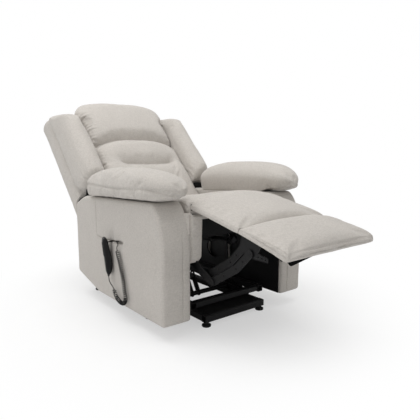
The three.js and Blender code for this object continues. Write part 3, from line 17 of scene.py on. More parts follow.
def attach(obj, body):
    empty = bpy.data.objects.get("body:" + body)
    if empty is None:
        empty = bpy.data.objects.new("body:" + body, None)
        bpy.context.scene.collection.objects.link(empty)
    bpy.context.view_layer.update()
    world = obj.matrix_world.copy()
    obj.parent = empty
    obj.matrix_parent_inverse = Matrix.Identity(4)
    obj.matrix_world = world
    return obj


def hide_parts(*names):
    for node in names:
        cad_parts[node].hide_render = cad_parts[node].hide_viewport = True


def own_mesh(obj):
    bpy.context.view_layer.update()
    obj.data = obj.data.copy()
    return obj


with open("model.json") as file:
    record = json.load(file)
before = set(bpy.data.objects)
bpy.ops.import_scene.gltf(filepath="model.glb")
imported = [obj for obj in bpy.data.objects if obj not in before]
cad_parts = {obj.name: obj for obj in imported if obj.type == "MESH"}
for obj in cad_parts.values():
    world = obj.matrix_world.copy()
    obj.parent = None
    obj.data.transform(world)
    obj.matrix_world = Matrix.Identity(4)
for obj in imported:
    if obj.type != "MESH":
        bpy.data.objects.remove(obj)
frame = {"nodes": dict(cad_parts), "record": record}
MM = 0.001
scene = bpy.context.scene
cad_nodes = frame["nodes"]
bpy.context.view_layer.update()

# %% [markdown]
# ## The camera
# The chair is seen from its right front, from a little above seat height. The camera is placed
# by its position, its heading and its downward tilt, and the lens follows from the frame of 420
# pixels.

# %% Camera
PICTURE_PIXELS = 420
FOCAL_PIXELS = 440.9
SENSOR = 36.0
CAMERA_AT = (-1258.9, -1769.7, 754.8)
TILT_DOWN, HEADING = 8.2, -38.7
camera = bpy.data.objects.new("camera", bpy.data.cameras.new("camera"))
scene.collection.objects.link(camera)
camera.location = Vector(CAMERA_AT) * MM
camera.rotation_euler = (math.radians(90 - TILT_DOWN), 0, math.radians(HEADING))
camera.data.sensor_width = SENSOR
camera.data.lens = FOCAL_PIXELS / PICTURE_PIXELS * SENSOR
scene.camera = camera
print("lens", round(camera.data.lens, 2), "mm")

# %% [markdown]
# ## Lines in space
# Cords, seams and welts all follow smooth lines through a few named points. A centripetal
# Catmull-Rom curve passes through every point and never loops, so it is the one used here.

# %% Smooth lines
def unit(v):
    v = np.asarray(v, float)
    return v / np.linalg.norm(v)


def through(points, step):
    """A centripetal Catmull-Rom curve through the points, sampled about every `step` mm."""
    p = np.asarray(points, float)
    p = np.vstack([2 * p[0] - p[1], p, 2 * p[-1] - p[-2]])
    line = []
    for a, b, c, d in zip(p[:-3], p[1:-2], p[2:-1], p[3:]):
        t1 = np.linalg.norm(b - a) ** 0.5
        t2 = t1 + np.linalg.norm(c - b) ** 0.5
        t3 = t2 + np.linalg.norm(d - c) ** 0.5
        count = max(2, int(np.ceil(np.linalg.norm(c - b) / step)))
        t = np.linspace(t1, t2, count, endpoint=False)[:, None]
        ab = a + (b - a) * t / t1
        bc = b + (c - b) * (t - t1) / (t2 - t1)
        cd = c + (d - c) * (t - t2) / (t3 - t2)
        abc = ab + (bc - ab) * t / t2
        bcd = bc + (cd - bc) * (t - t1) / (t3 - t1)
        line.append(abc + (bcd - abc) * (t - t1) / (t2 - t1))
    return np.vstack([*line, p[-2]])


def lengths(line):
    """The length run so far, at each point of a line."""
    return np.concatenate([[0], np.cumsum(np.linalg.norm(np.diff(line, axis=0), axis=1))])


def evenly(line, count):
    """The same line with `count` points, evenly spaced."""
    s = lengths(line)
    at = np.linspace(0, s[-1], count)
    return np.stack([np.interp(at, s, line[:, k]) for k in range(line.shape[1])], 1)


def spaced(line, spacing):
    """The same line with a point about every `spacing` mm."""
    line = np.asarray(line, float)
    return evenly(line, max(2, int(lengths(line)[-1] / spacing)))


def ease(t):
    """A soft step that is 0 below 0, 1 above 1 and level at both ends."""
    t = np.clip(t, 0, 1)
    return t * t * (3 - 2 * t)


# %% [markdown]
# ## The handset's cord
# One round cord runs from the pocket's inner wall to the handset. Its middle is wound into a
# curly coil that hangs in a loop: straight lead, forty-three curls, straight lead. It is a single
# curve with a round bevel, so that its centre line is the cord's whole length.

# %% Cord route
CORD_RADIUS = 1.9
CURL_RADIUS = 7.3
CURLS = 43
POINTS_PER_CURL = 16
CORD_EXIT = np.array([-382.3, -24, 341])
HANDSET_AT = np.array([-422.8, 10, 274])
HANDSET_TURN, HANDSET_LEAN = 19, 4
NUB_LOW = np.array([0, 0, -94.0])
turn, lean = math.pi - math.radians(HANDSET_TURN), math.radians(HANDSET_LEAN)
turned = np.array([[math.cos(turn), -math.sin(turn), 0], [math.sin(turn), math.cos(turn), 0], [0, 0, 1]])
leaned = np.array([[math.cos(lean), 0, math.sin(lean)], [0, 1, 0], [-math.sin(lean), 0, math.cos(lean)]])
handset_axes = turned @ leaned
nub_end, nub_way = HANDSET_AT + handset_axes @ NUB_LOW, -handset_axes[:, 2]
coil_start, start_way = np.array([-413, -27, 134.0]), np.array([0, -0.8, -0.6])
coil_end, end_way = np.array([-410, -68, 318.0]), unit([0, 0.1, 1])
lower_lead = through([nub_end, nub_end + 8 * nub_way, (-418, -1, 160), (-415, -9, 147),
                      coil_start - 7 * start_way, coil_start], 2)
coil_centre = through([coil_start, coil_start + 9 * start_way, (-412, -42, 112), (-412, -62, 94), (-412, -98, 84),
                       (-412, -127, 92), (-412, -137, 118), (-412, -128, 153), (-412, -116, 206), (-412, -102, 243),
                       (-411, -85, 281), coil_end - 9 * end_way, coil_end], 2)
upper_lead = through([coil_end, coil_end + 7 * end_way, (-408, -74, 335), (-407, -68, 344), (-404, -52, 346),
                      (-398, -36, 342), CORD_EXIT + (-6, 0, 0), CORD_EXIT], 2)


# %% Winding the coil
def coiled(centre, curls, radius, points_per_curl, lead=0.018):
    """A helix about a centre line, whose radius grows from nothing over a short lead at each end."""
    count = curls * points_per_curl + 1
    axis = evenly(centre, count)
    along = np.gradient(axis, axis=0)
    along /= np.linalg.norm(along, axis=1)[:, None]
    side = np.array([1.0, 0, 0])
    points = []
    for i, (at, way) in enumerate(zip(axis, along)):
        side = unit(side - way * side.dot(way))
        t = i / (count - 1)
        swell = ease((min(t, 1 - t) - lead) / lead) * radius
        angle = 2 * math.pi * curls * t
        points.append(at + swell * (math.cos(angle) * side + math.sin(angle) * np.cross(way, side)))
    return np.array(points)


coil = coiled(coil_centre, CURLS, CURL_RADIUS, POINTS_PER_CURL)
cord_line = np.vstack([upper_lead[::-1], coil[::-1][1:], lower_lead[::-1][1:]])


def line_object(name, points, radius, resolution=4):
    curve = bpy.data.curves.new(name, "CURVE")
    curve.dimensions = "3D"
    spline = curve.splines.new("POLY")
    spline.points.add(len(points) - 1)
    spline.points.foreach_set("co", np.hstack([points * MM, np.ones((len(points), 1))]).ravel())
    spline.use_smooth = True
    curve.bevel_depth = radius * MM
    curve.bevel_resolution = resolution
    curve.use_fill_caps = True
    piece = bpy.data.objects.new(name, curve)
    scene.collection.objects.link(piece)
    return piece


handset_cord = line_object("handset_cord", cord_line, CORD_RADIUS, 2)

# %% [markdown]
# ## Meshes
# Every pad starts as a closed skin of rings, like a sleeve drawn over its stuffing. A ring is a
# rounded rectangle; a run of rings whose sizes follow a profile gives the pad its crown.

# %% Mesh helpers
def mesh_object(name, points, faces):
    mesh = bpy.data.meshes.new(name)
    mesh.from_pydata((np.asarray(points) * MM).tolist(), [], faces)
    mesh.update()
    piece = bpy.data.objects.new(name, mesh)
    scene.collection.objects.link(piece)
    turned = bmesh.new()
    turned.from_mesh(mesh)
    bmesh.ops.recalc_face_normals(turned, faces=turned.faces)
    if turned.calc_volume(signed=True) < 0:
        bmesh.ops.reverse_faces(turned, faces=turned.faces)
    turned.to_mesh(mesh)
    turned.free()
    mesh.shade_smooth()
    return piece


def skinned(name, rings):
    """A closed skin over rings of equal counts, with a fan of faces over each end."""
    rings = np.asarray(rings, float)
    rows, count = rings.shape[:2]
    faces = [(r * count + k, r * count + (k + 1) % count, (r + 1) * count + (k + 1) % count, (r + 1) * count + k)
             for r in range(rows - 1) for k in range(count)]
    points = np.vstack([rings.reshape(-1, 3), rings[0].mean(0), rings[-1].mean(0)])
    first, last = rows * count, rows * count + 1
    faces += [(k, first, (k + 1) % count) for k in range(count)]
    faces += [((rows - 1) * count + k, (rows - 1) * count + (k + 1) % count, last) for k in range(count)]
    return mesh_object(name, points, faces)


def rounded_ring(count, half_width, low, high, power):
    """Points (across, height) of a rounded rectangle about 0, from its right-hand middle upwards."""
    a = np.arange(count) / count * 2 * math.pi
    c, s = np.cos(a), np.sin(a)
    across = np.sign(c) * np.abs(c) ** (2 / power) * half_width
    height = np.sign(s) * np.abs(s) ** (2 / power)
    return across, height * np.where(height > 0, high, low)


# %% Reading, moving and refining a mesh
LINE_STEP = 2       # mm between the points of a seam's line


def points_of(piece):
    out = np.empty(len(piece.data.vertices) * 3, np.float32)
    piece.data.vertices.foreach_get("co", out)
    return out.reshape(-1, 3).astype(float) / MM


def move_points(piece, points):
    piece.data.vertices.foreach_set("co", (np.asarray(points) * MM).astype(np.float32).ravel())
    piece.data.update()


def normals_of(piece):
    out = np.empty(len(piece.data.vertices) * 3, np.float32)
    piece.data.vertices.foreach_get("normal", out)
    return out.reshape(-1, 3).astype(float)


def applied(piece):
    """Turns the modifiers into plain mesh."""
    shown = piece.evaluated_get(bpy.context.evaluated_depsgraph_get())
    mesh = bpy.data.meshes.new_from_object(shown)
    piece.modifiers.clear()
    piece.vertex_groups.clear()
    piece.data = mesh
    mesh.shade_smooth()
    return piece


def subdivided(piece, levels=1):
    piece.modifiers.new("finer", "SUBSURF").levels = levels
    return applied(piece)


def refined(piece, lines, reach=9.0):
    """Splits the faces near some lines, so that a seam there can be narrow and crisp."""
    net = bmesh.new()
    net.from_mesh(piece.data)
    net.faces.ensure_lookup_table()
    centres = np.array([f.calc_center_median() for f in net.faces]) / MM
    near = set()
    for line in lines:
        near.update(near_line(centres, spaced(line, LINE_STEP), reach)[0].tolist())
    edges = {edge for number in near for edge in net.faces[number].edges}
    bmesh.ops.subdivide_edges(net, edges=list(edges), cuts=1, use_grid_fill=True)
    net.to_mesh(piece.data)
    net.free()
    piece.data.shade_smooth()
    return piece


# %% [markdown]
# ## Stuffing and sewing
# Real upholstery is a flat cover pulled over foam: it swells between its seams, and the seams hold
# it down. Blender's cloth does the same when some points are pinned and air pressure fills the
# rest. How far a point may move is limited, because the foam inside limits the real cover too.
# Seams come after that: a narrow crease along a line, with small tucks that die away from it.

# %% Filling a cover
def hold(piece, rings, numbers):
    """Marks the points of a skin of rings that have these numbers in their ring."""
    count = rings.shape[1]
    held = np.zeros(len(piece.data.vertices), bool)
    held[:rings.shape[0] * count] = np.isin(np.arange(rings.shape[0] * count) % count, numbers)
    return held


def fill(piece, held, most, pressure=4.0, slack=0.04, frames=20):
    """Swells a closed cover with cloth simulation. `held` marks the points on seams and underneath."""
    rest = points_of(piece)
    group = piece.vertex_groups.new(name="held")
    group.add(np.flatnonzero(held).tolist(), 1.0, "REPLACE")
    cloth = piece.modifiers.new("cover", "CLOTH")
    settings = cloth.settings
    settings.quality = 5
    settings.mass = 0.3
    settings.bending_stiffness = 2.0
    settings.use_pressure = True
    settings.uniform_pressure_force = pressure
    settings.vertex_group_mass = "held"
    settings.shrink_min = -slack
    settings.effector_weights.gravity = 0
    cloth.collision_settings.use_collision = False
    cloth.collision_settings.use_self_collision = False
    cloth.point_cache.frame_start, cloth.point_cache.frame_end = 1, frames
    for number in range(1, frames + 1):
        scene.frame_set(number)
    shown = piece.evaluated_get(bpy.context.evaluated_depsgraph_get())
    blown = np.array([v.co for v in shown.data.vertices], float) / MM
    piece.modifiers.remove(cloth)
    piece.vertex_groups.clear()
    scene.frame_set(1)
    step = blown - rest
    far = np.linalg.norm(step, axis=1)
    scale = most * np.tanh(far / most) / np.maximum(far, 1e-6)
    move_points(piece, rest + step * scale[:, None])
    print(piece.name, "filled, moved up to", round(float((far * scale).max()), 1), "mm")
    return piece


# %% Sewing a cover down
CHUNK = 4000        # points measured at a time
TUCK_SLANT = 0.25   # tucks run askew to their seam


def near_line(points, line, reach):
    """For points within reach of a line: their numbers, distances and places along it."""
    line = np.asarray(line, float)
    low, high = line.min(0) - reach, line.max(0) + reach
    index = np.flatnonzero(((points > low) & (points < high)).all(1))
    s = lengths(line)
    near, place = np.empty(len(index)), np.empty(len(index))
    for start in range(0, len(index), CHUNK):
        part = index[start:start + CHUNK]
        gap = np.linalg.norm(points[part][:, None] - line[None], axis=2)
        k = gap.argmin(1)
        near[start:start + CHUNK] = gap[np.arange(len(part)), k]
        place[start:start + CHUNK] = s[k]
    keep = near < reach
    return index[keep], near[keep], place[keep], s[-1]


def ripple(place, spacing, seed):
    """A wandering wave along a seam, between 0 and 1, the same on every run."""
    rng = np.random.default_rng(seed)
    wave = sum(np.sin(2 * math.pi * place / (spacing * f) + rng.uniform(0, 6.28)) * w
               for f, w in ((1, 0.5), (1.37, 0.35), (0.71, 0.25), (2.3, 0.3)))
    return np.clip(0.5 + 0.6 * wave, 0, 1)


def sew(piece, line, crease=3.0, width=4.0, tucks=0.0, reach=30.0, spacing=14.0, seed=1, ends=12.0):
    """Presses a crease into a cover along a line, with tucks that fade out over `reach`."""
    line = spaced(line, LINE_STEP)
    points, normals = points_of(piece), normals_of(piece)
    index, near, place, whole = near_line(points, line, max(3 * width, 2.2 * reach * (tucks > 0)))
    fade = np.clip(np.minimum(place, whole - place) / ends, 0, 1) if ends else 1
    groove = np.exp(-(near / width) ** 2)
    depth = crease * groove
    if tucks:
        slanted = place + TUCK_SLANT * near
        folds = tucks * ripple(slanted, spacing, seed) * np.exp(-(near / reach) ** 1.5)
        depth = depth + folds * (1 - groove)
    points[index] -= normals[index] * (depth * fade)[:, None]
    move_points(piece, points)
    return piece


def waves(piece, height, size, seed):
    """Slow unevenness of stuffing under the cover."""
    points, normals = points_of(piece), normals_of(piece)
    lift = np.array([noise.noise(Vector(p / size) + Vector((seed, 0, 0))) for p in points])
    move_points(piece, points + normals * (height * lift)[:, None])
    return piece


# %% Stitches
THREAD_SIDES = 6
STITCH_RINGS = ((-0.34, 0.35), (-0.2, 1), (0.2, 1), (0.34, 0.35))     # (place along it, thickness there)


def on_surface(piece, line, lift):
    """The line laid `lift` mm above the piece's surface, and the surface's direction at each point."""
    found = [piece.closest_point_on_mesh(Vector(p) * MM) for p in np.asarray(line, float)]
    normal = np.array([n for _, _, n, _ in found])
    return np.array([p for _, p, _, _ in found]) / MM + normal * lift, normal


thread_points, thread_faces = {}, {}


def stitch(body, piece, line, aside=3.0, pitch=6.0, thread=0.45):
    """A row of short thread ends beside a seam, pressed a little into the cover."""
    at, normal = on_surface(piece, spaced(line, pitch), 0.0)
    way = np.gradient(at, axis=0)
    way /= np.maximum(np.linalg.norm(way, axis=1), 1e-6)[:, None]
    side = np.cross(way, normal)
    at, normal = on_surface(piece, at + side * aside, 0.15)
    points, faces = thread_points.setdefault(body, []), thread_faces.setdefault(body, [])
    for p, n, w in zip(at, normal, way):
        across = np.cross(w, n)
        start = len(points)
        for reach, size in STITCH_RINGS:
            for a in range(THREAD_SIDES):
                angle = a / THREAD_SIDES * 2 * math.pi
                outward = math.cos(angle) * n + math.sin(angle) * across
                points.append(p + w * reach * pitch + thread * size * outward)
        last = start + (len(STITCH_RINGS) - 1) * THREAD_SIDES
        for low in range(start, last, THREAD_SIDES):
            for a in range(THREAD_SIDES):
                b, high = (a + 1) % THREAD_SIDES, low + THREAD_SIDES
                faces.append((low + a, low + b, high + b, high + a))
        faces.append(tuple(start + a for a in range(THREAD_SIDES - 1, -1, -1)))
        faces.append(tuple(last + a for a in range(THREAD_SIDES)))


# %% [markdown]
# ## Finishes
# The cover is a close-woven heathered cloth: warm light grey yarns of slightly different tones,
# matt with a faint sheen. The weave is made from sine waves along the three axes, mixed by the
# direction that the surface faces, so that it needs no unwrapping and runs true on every pad.

# %% Shader helpers
def finish_named(name, base, rough, **sockets):
    look = bpy.data.materials.new(name)
    look.use_nodes = True
    shader = look.node_tree.nodes["Principled BSDF"]
    shader.inputs["Base Color"].default_value = (*base, 1)
    shader.inputs["Roughness"].default_value = rough
    for socket, value in sockets.items():
        shader.inputs[socket.replace("_", " ")].default_value = value
    return look, look.node_tree, shader


def node(tree, kind, **values):
    made = tree.nodes.new("ShaderNode" + kind)
    for key, value in values.items():
        if key in made.inputs:
            made.inputs[key].default_value = value
        else:
            setattr(made, key, value)
    return made


def math_of(tree, operation, first, second=None):
    made = node(tree, "Math", operation=operation)
    for socket, value in zip(made.inputs, (first, second)):
        if value is None:
            continue
        if isinstance(value, (int, float)):
            socket.default_value = value
        else:
            tree.links.new(value, socket)
    return made.outputs[0]


def noise_of(tree, place, scale, detail=2.0, stretch=(1, 1, 1)):
    mapping = node(tree, "Mapping")
    mapping.inputs["Scale"].default_value = stretch
    made = node(tree, "TexNoise", Scale=scale, Detail=detail)
    tree.links.new(place, mapping.inputs["Vector"])
    tree.links.new(mapping.outputs[0], made.inputs["Vector"])
    return made.outputs["Fac"]


def spread_of(tree, value, low, high):
    made = node(tree, "MapRange")
    made.inputs["From Min"].default_value, made.inputs["From Max"].default_value = 0.25, 0.75
    made.inputs["To Min"].default_value, made.inputs["To Max"].default_value = low, high
    tree.links.new(value, made.inputs["Value"])
    return made.outputs[0]


def tinted(tree, colour, factor):
    """The colour times a factor that varies over the surface."""
    made = node(tree, "VectorMath", operation="SCALE")
    made.inputs[0].default_value = colour
    tree.links.new(factor, made.inputs["Scale"])
    return made.outputs[0]


def bumped(tree, shader, height, distance, strength=1.0):
    made = node(tree, "Bump", Distance=distance, Strength=strength)
    tree.links.new(height, made.inputs["Height"])
    tree.links.new(made.outputs[0], shader.inputs["Normal"])


# %% Cloth
def woven(name, colour, thread_mm=1.3, sheen=0.25, contrast=1.0):
    look, tree, shader = finish_named(name, colour, 0.92, Sheen_Weight=sheen, Sheen_Roughness=0.45,
                                      Specular_IOR_Level=0.18)
    where = node(tree, "TexCoord")
    place = where.outputs["Object"]
    split, facing = node(tree, "SeparateXYZ"), node(tree, "SeparateXYZ")
    tree.links.new(place, split.inputs[0])
    tree.links.new(where.outputs["Normal"], facing.inputs[0])
    turns = 2 * math.pi / (thread_mm * MM)
    sines = [math_of(tree, "SINE", math_of(tree, "MULTIPLY", split.outputs[k], turns)) for k in range(3)]
    weave = None
    for k in range(3):
        flat = math_of(tree, "MULTIPLY", sines[(k + 1) % 3], sines[(k + 2) % 3])
        part = math_of(tree, "MULTIPLY", flat, math_of(tree, "ABSOLUTE", facing.outputs[k]))
        weave = part if weave is None else math_of(tree, "ADD", weave, part)
    fibres = noise_of(tree, place, 1700, 3)
    heather = noise_of(tree, place, 420, 2)
    slubs = noise_of(tree, place, 60, 2, (1, 1, 9))
    cross_slubs = noise_of(tree, place, 60, 2, (9, 9, 1))
    clouds = noise_of(tree, place, 7, 3)
    mottle = noise_of(tree, place, 150, 2)

    def about_one(source, amount):
        return spread_of(tree, source, 1 - amount * contrast, 1 + amount * contrast)

    tone = about_one(heather, 0.09)
    for source, amount in ((slubs, 0.06), (cross_slubs, 0.055), (clouds, 0.03), (fibres, 0.06), (mottle, 0.055)):
        tone = math_of(tree, "MULTIPLY", tone, about_one(source, amount))
    relief = math_of(tree, "ADD", math_of(tree, "MULTIPLY", weave, 0.03 * contrast), 1.0)
    tone = math_of(tree, "MULTIPLY", tone, relief)
    tree.links.new(tinted(tree, colour, tone), shader.inputs["Base Color"])
    height = math_of(tree, "ADD", math_of(tree, "MULTIPLY", weave, 0.5), fibres)
    bumped(tree, shader, height, 0.00035, 0.7)
    return look


# %% Paint, plastic and wood
def coated(name, colour, rough, grain=900, depth=0.00008, metallic=0.0, worn=0.12, shine=0.5):
    look, tree, shader = finish_named(name, colour, rough, Metallic=metallic, Specular_IOR_Level=shine)
    place = node(tree, "TexCoord").outputs["Object"]
    speckle, clouds = noise_of(tree, place, grain, 2), noise_of(tree, place, 14, 4)
    tone = math_of(tree, "MULTIPLY", *(spread_of(tree, source, 1 - worn, 1 + worn) for source in (speckle, clouds)))
    tree.links.new(tinted(tree, colour, tone), shader.inputs["Base Color"])
    tree.links.new(spread_of(tree, clouds, rough - 0.08, rough + 0.08), shader.inputs["Roughness"])
    bumped(tree, shader, speckle, depth, 0.6)
    return look


def grained(name, colour):
    look, tree, shader = finish_named(name, colour, 0.7)
    place = node(tree, "TexCoord").outputs["Object"]
    rings = node(tree, "TexWave", Scale=9, Distortion=6, Detail=3)
    mapping = node(tree, "Mapping")
    mapping.inputs["Scale"].default_value = (0.25, 3, 3)
    tree.links.new(place, mapping.inputs["Vector"])
    tree.links.new(mapping.outputs[0], rings.inputs["Vector"])
    tone = spread_of(tree, rings.outputs["Fac"], 0.8, 1.15)
    tree.links.new(tinted(tree, colour, tone), shader.inputs["Base Color"])
    bumped(tree, shader, rings.outputs["Fac"], 0.0002, 0.5)
    return look


# %% This chair's finishes
CLOTH = (0.545, 0.514, 0.478)
cover_cloth = woven("cover cloth", CLOTH)
side_cloth = woven("side cloth", tuple(0.97 * c for c in CLOTH))
thread_look = woven("sewing thread", tuple(0.9 * c for c in CLOTH), 0.4, 0.1, 0.4)
lining_cloth = woven("black lining", (0.009, 0.009, 0.0095), 0.9, 0.05, 0.8)
powder_coat = coated("black powder coat", (0.007, 0.007, 0.0075), 0.5, shine=0.2)
zinc = coated("zinc plate", (0.46, 0.47, 0.48), 0.33, metallic=1.0, grain=500, depth=0.00003, worn=0.08)
handset_plastic = coated("moulded black plastic", (0.006, 0.0065, 0.0075), 0.42, grain=1400, depth=0.00005,
                         shine=0.25)
key_rubber = coated("grey key rubber", (0.105, 0.125, 0.155), 0.5, grain=1100, depth=0.00004)
cord_rubber = coated("cord rubber", (0.0045, 0.0045, 0.005), 0.5, grain=1500, depth=0.00003, shine=0.2)
stained_wood = grained("stained wood", (0.02, 0.017, 0.014))

# %% [markdown]
# ## Arm pillows
# Each arm carries a long pillow that swells over the front of the arm. A seam runs along its
# outer side at half height and round the tip; below it a front cap is sewn on with an upright
# seam. On the inner side the cap's seam rises from the underside to the tip. One pillow is made
# and filled. The other is its mirror image, stuffed a little higher.

# %% Shape of an arm pillow
PILLOW_ROWS, PILLOW_COLUMNS = 100, 88
UNDERSIDE = range(60, 73)       # the columns of a ring that lie on the arm
CAP_AT = -246
LEFT_FULLER, FULLER_ABOVE = 0.14, 585
PAD_REAR, PAD_FRONT, PAD_TIP = 230, -422, 314
PAD_INNER, PAD_OUTER = 254, 427
ARM_TOP_REAR, ARM_TOP_FRONT = (285, 516), (-330, 541)
PAD_CREST = through([(230, 600), (212, 618), (190, 629), (150, 639), (100, 648), (40, 656), (-29, 659),
                     (-200, 662), (-296, 656), (-380, 643), (-422, 632)], 4)
PAD_SEAM = through([(230, 576), (190, 581), (66, 580), (-91, 580), (-231, 588), (-310, 593), (-360, 589),
                    (-400, 579), (-422, 568)], 4)


def arm_top(y):
    return np.interp((ARM_TOP_REAR[0] - y) / (ARM_TOP_REAR[0] - ARM_TOP_FRONT[0]), [0, 1.25],
                     [ARM_TOP_REAR[1], ARM_TOP_REAR[1] + 1.25 * (ARM_TOP_FRONT[1] - ARM_TOP_REAR[1])])


def height_of(line, y):
    return float(np.interp(-y, -line[:, 0], line[:, 1]))


def rounded_end(t, reach, least, power):
    k = np.clip(1 - np.minimum(t, 1 - t) / reach, 0, 1)
    return float(np.maximum(least, (1 - k ** power) ** (1 / power)))


def pillow_rings(side, rows=PILLOW_ROWS, count=PILLOW_COLUMNS):
    rings = []
    for i in range(rows + 1):
        t = 0.5 - 0.5 * math.cos(i / rows * math.pi)
        y = PAD_REAR + (PAD_FRONT - PAD_REAR) * t
        full = rounded_end(t, 0.09, 0.06, 2.8) if t < 0.5 else rounded_end(t, 0.19, 0.05, 2.2)
        outer_full = full if t < 0.5 else rounded_end(t, 0.28, 0.05, 2.2)
        overhang = min(1, max(0, (-320 - y) / 154))
        bottom = float(arm_top(y)) + 1 + 26 * overhang ** 2
        crest = height_of(PAD_CREST, y)
        middle = bottom + (crest - bottom) * 0.44
        end = (PAD_INNER + PAD_OUTER) / 2 if t < 0.5 else PAD_TIP
        widest = 0.95 + 0.05 * float(ease(t))
        inner = end + (PAD_INNER - end) * widest * full
        outer = end + (PAD_OUTER - end) * widest * outer_full
        low = (middle - bottom) * (0.8 + 0.2 * full if t < 0.5 else 0.5 + 0.5 * full)
        across, height = rounded_ring(count, (outer - inner) / 2, low, (crest - middle) * full, 2.35)
        # the pillow's two edges hang down over the rounded edges of the arm, the inner one lower
        edge = np.abs(across) / max(1.0, (outer - inner) / 2)
        hang = np.where(across < 0, 13 + 26 * float(ease((y + 330) / 90)), 13 * full) * min(1, 2.2 * full)
        height = height - hang * ease((edge - 0.72) / 0.2) * (height < 0) * ease(-height / (0.6 * low + 1))
        across = across - 11 * full * ease((edge - 0.5) / 0.4) * (across < 0) * np.exp(-((height - 12) / 42) ** 2)
        rings.append(np.stack([side * ((inner + outer) / 2 + across), np.full(count, y), middle + height], 1))
    return np.array(rings)


def along_height(rings, heights, columns):
    """The points where a run of a ring's columns comes to the wanted height, ring by ring."""
    line = []
    for ring, wanted in zip(rings, heights):
        part = ring[columns]
        order = np.argsort(part[:, 2])
        line.append([np.interp(wanted, part[order, 2], part[order, k]) for k in range(3)])
    return np.array(line)


def mirrored(piece, name):
    mesh = piece.data.copy()
    twin = bpy.data.objects.new(name, mesh)
    scene.collection.objects.link(twin)
    flipped = points_of(piece) * (-1, 1, 1)
    move_points(twin, flipped)
    mesh.flip_normals()
    return twin


# %% Arm pillows
pad_rings = pillow_rings(-1)
sewn_rings = pad_rings[4:-2]
outer_seam = along_height(sewn_rings, [height_of(PAD_SEAM, y) for y in sewn_rings[:, 0, 1]], np.arange(-20, 17))
cap_row = int(np.argmin(np.abs(pad_rings[:, 0, 1] - CAP_AT)))
cap_seam = np.array([pad_rings[cap_row + k // 4, -k] for k in range(0, 20)])
tip_row = len(pad_rings) - 3
# the cap's inner seam climbs 16 columns from the underside to the ring's inner middle
inner_seam = np.array([pad_rings[r, PILLOW_COLUMNS // 2 + int(round(16 * (1 - (r - cap_row) / (tip_row - cap_row))))]
                       for r in range(cap_row, tip_row)])
arm_pad_right = skinned("arm_pillow_right", pad_rings)
fill(arm_pad_right, hold(arm_pad_right, pad_rings, [0, *UNDERSIDE]), 6, slack=0.02)
subdivided(arm_pad_right)
sew(arm_pad_right, outer_seam, crease=5.2, width=5, tucks=1.6, reach=18, spacing=17, seed=3)
sew(arm_pad_right, cap_seam, crease=4.6, width=5, tucks=1.0, reach=14, spacing=16, seed=4)
sew(arm_pad_right, inner_seam, crease=5.2, width=5.5, tucks=3.6, reach=36, spacing=21, seed=5)
beside_cap = outer_seam[cap_row - 8:cap_row + 8]
sew(arm_pad_right, beside_cap, crease=0, width=5, tucks=2.8, reach=34, spacing=19, seed=8)
arm_pad_left = mirrored(arm_pad_right, "arm_pillow_left")
fuller = points_of(arm_pad_left)
fuller[:, 2] += LEFT_FULLER * np.clip(fuller[:, 2] - FULLER_ABOVE, 0, None)
move_points(arm_pad_left, fuller)
for pad, side, name in ((arm_pad_right, 1, "right"), (arm_pad_left, -1, "left")):
    for seam in (outer_seam, cap_seam, inner_seam):
        stitch("chair", pad, seam * (side, 1, 1), aside=3.2 * side)
    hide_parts(f"arm_pad_{name}")
print("pillow faces", len(arm_pad_right.data.polygons))

# %% [markdown]
# ## Upholstered boards
# The arms' sides and the back's rear panel are boards under a thin padding. Each is drawn as an
# outline, given thickness, its edges are rounded by a bevel, and a voxel remesh turns it into an
# even net of small squares that can be crowned, creased and waved.

# %% Boards under padding
EDGE_ANGLE = math.radians(35)       # edges sharper than this are rounded


def prism(name, outline, near, far, place):
    """A solid over an outline in its own plane. place(u, v, depth) puts a point in space."""
    outline = np.asarray(outline, float)
    count = len(outline)
    points = [place(u, v, depth) for depth in (near, far) for u, v in outline]
    faces = [tuple(range(count)), tuple(range(2 * count - 1, count - 1, -1))]
    faces += [(k, (k + 1) % count, count + (k + 1) % count, count + k) for k in range(count)]
    return mesh_object(name, points, faces)


def board(name, outline, near, far, place, edge, voxel):
    """A padded board: a prism with rounded edges and an even net of faces."""
    piece = prism(name, outline, near, far, place)
    bevel = piece.modifiers.new("edge", "BEVEL")
    bevel.width, bevel.segments, bevel.limit_method, bevel.angle_limit = edge * MM, 5, "ANGLE", EDGE_ANGLE
    remesh = piece.modifiers.new("net", "REMESH")
    remesh.mode, remesh.voxel_size = "VOXEL", voxel * MM
    relax = piece.modifiers.new("relax", "SMOOTH")
    relax.factor, relax.iterations = 0.5, 6
    return applied(piece)


def arc(a, b, c, count):
    """A quadratic curve from a to c that leans towards b."""
    t = np.linspace(0, 1, count, endpoint=False)[:, None]
    a, b, c = (np.array(p, float) for p in (a, b, c))
    return (1 - t) ** 2 * a + 2 * t * (1 - t) * b + t * t * c


def bend(a, b, c, d, count):
    """A cubic curve from a to d that leans towards b, then c."""
    t = np.linspace(0, 1, count, endpoint=False)[:, None]
    a, b, c, d = (np.array(p, float) for p in (a, b, c, d))
    return (1 - t) ** 3 * a + 3 * t * (1 - t) ** 2 * b + 3 * t * t * (1 - t) * c + t ** 3 * d


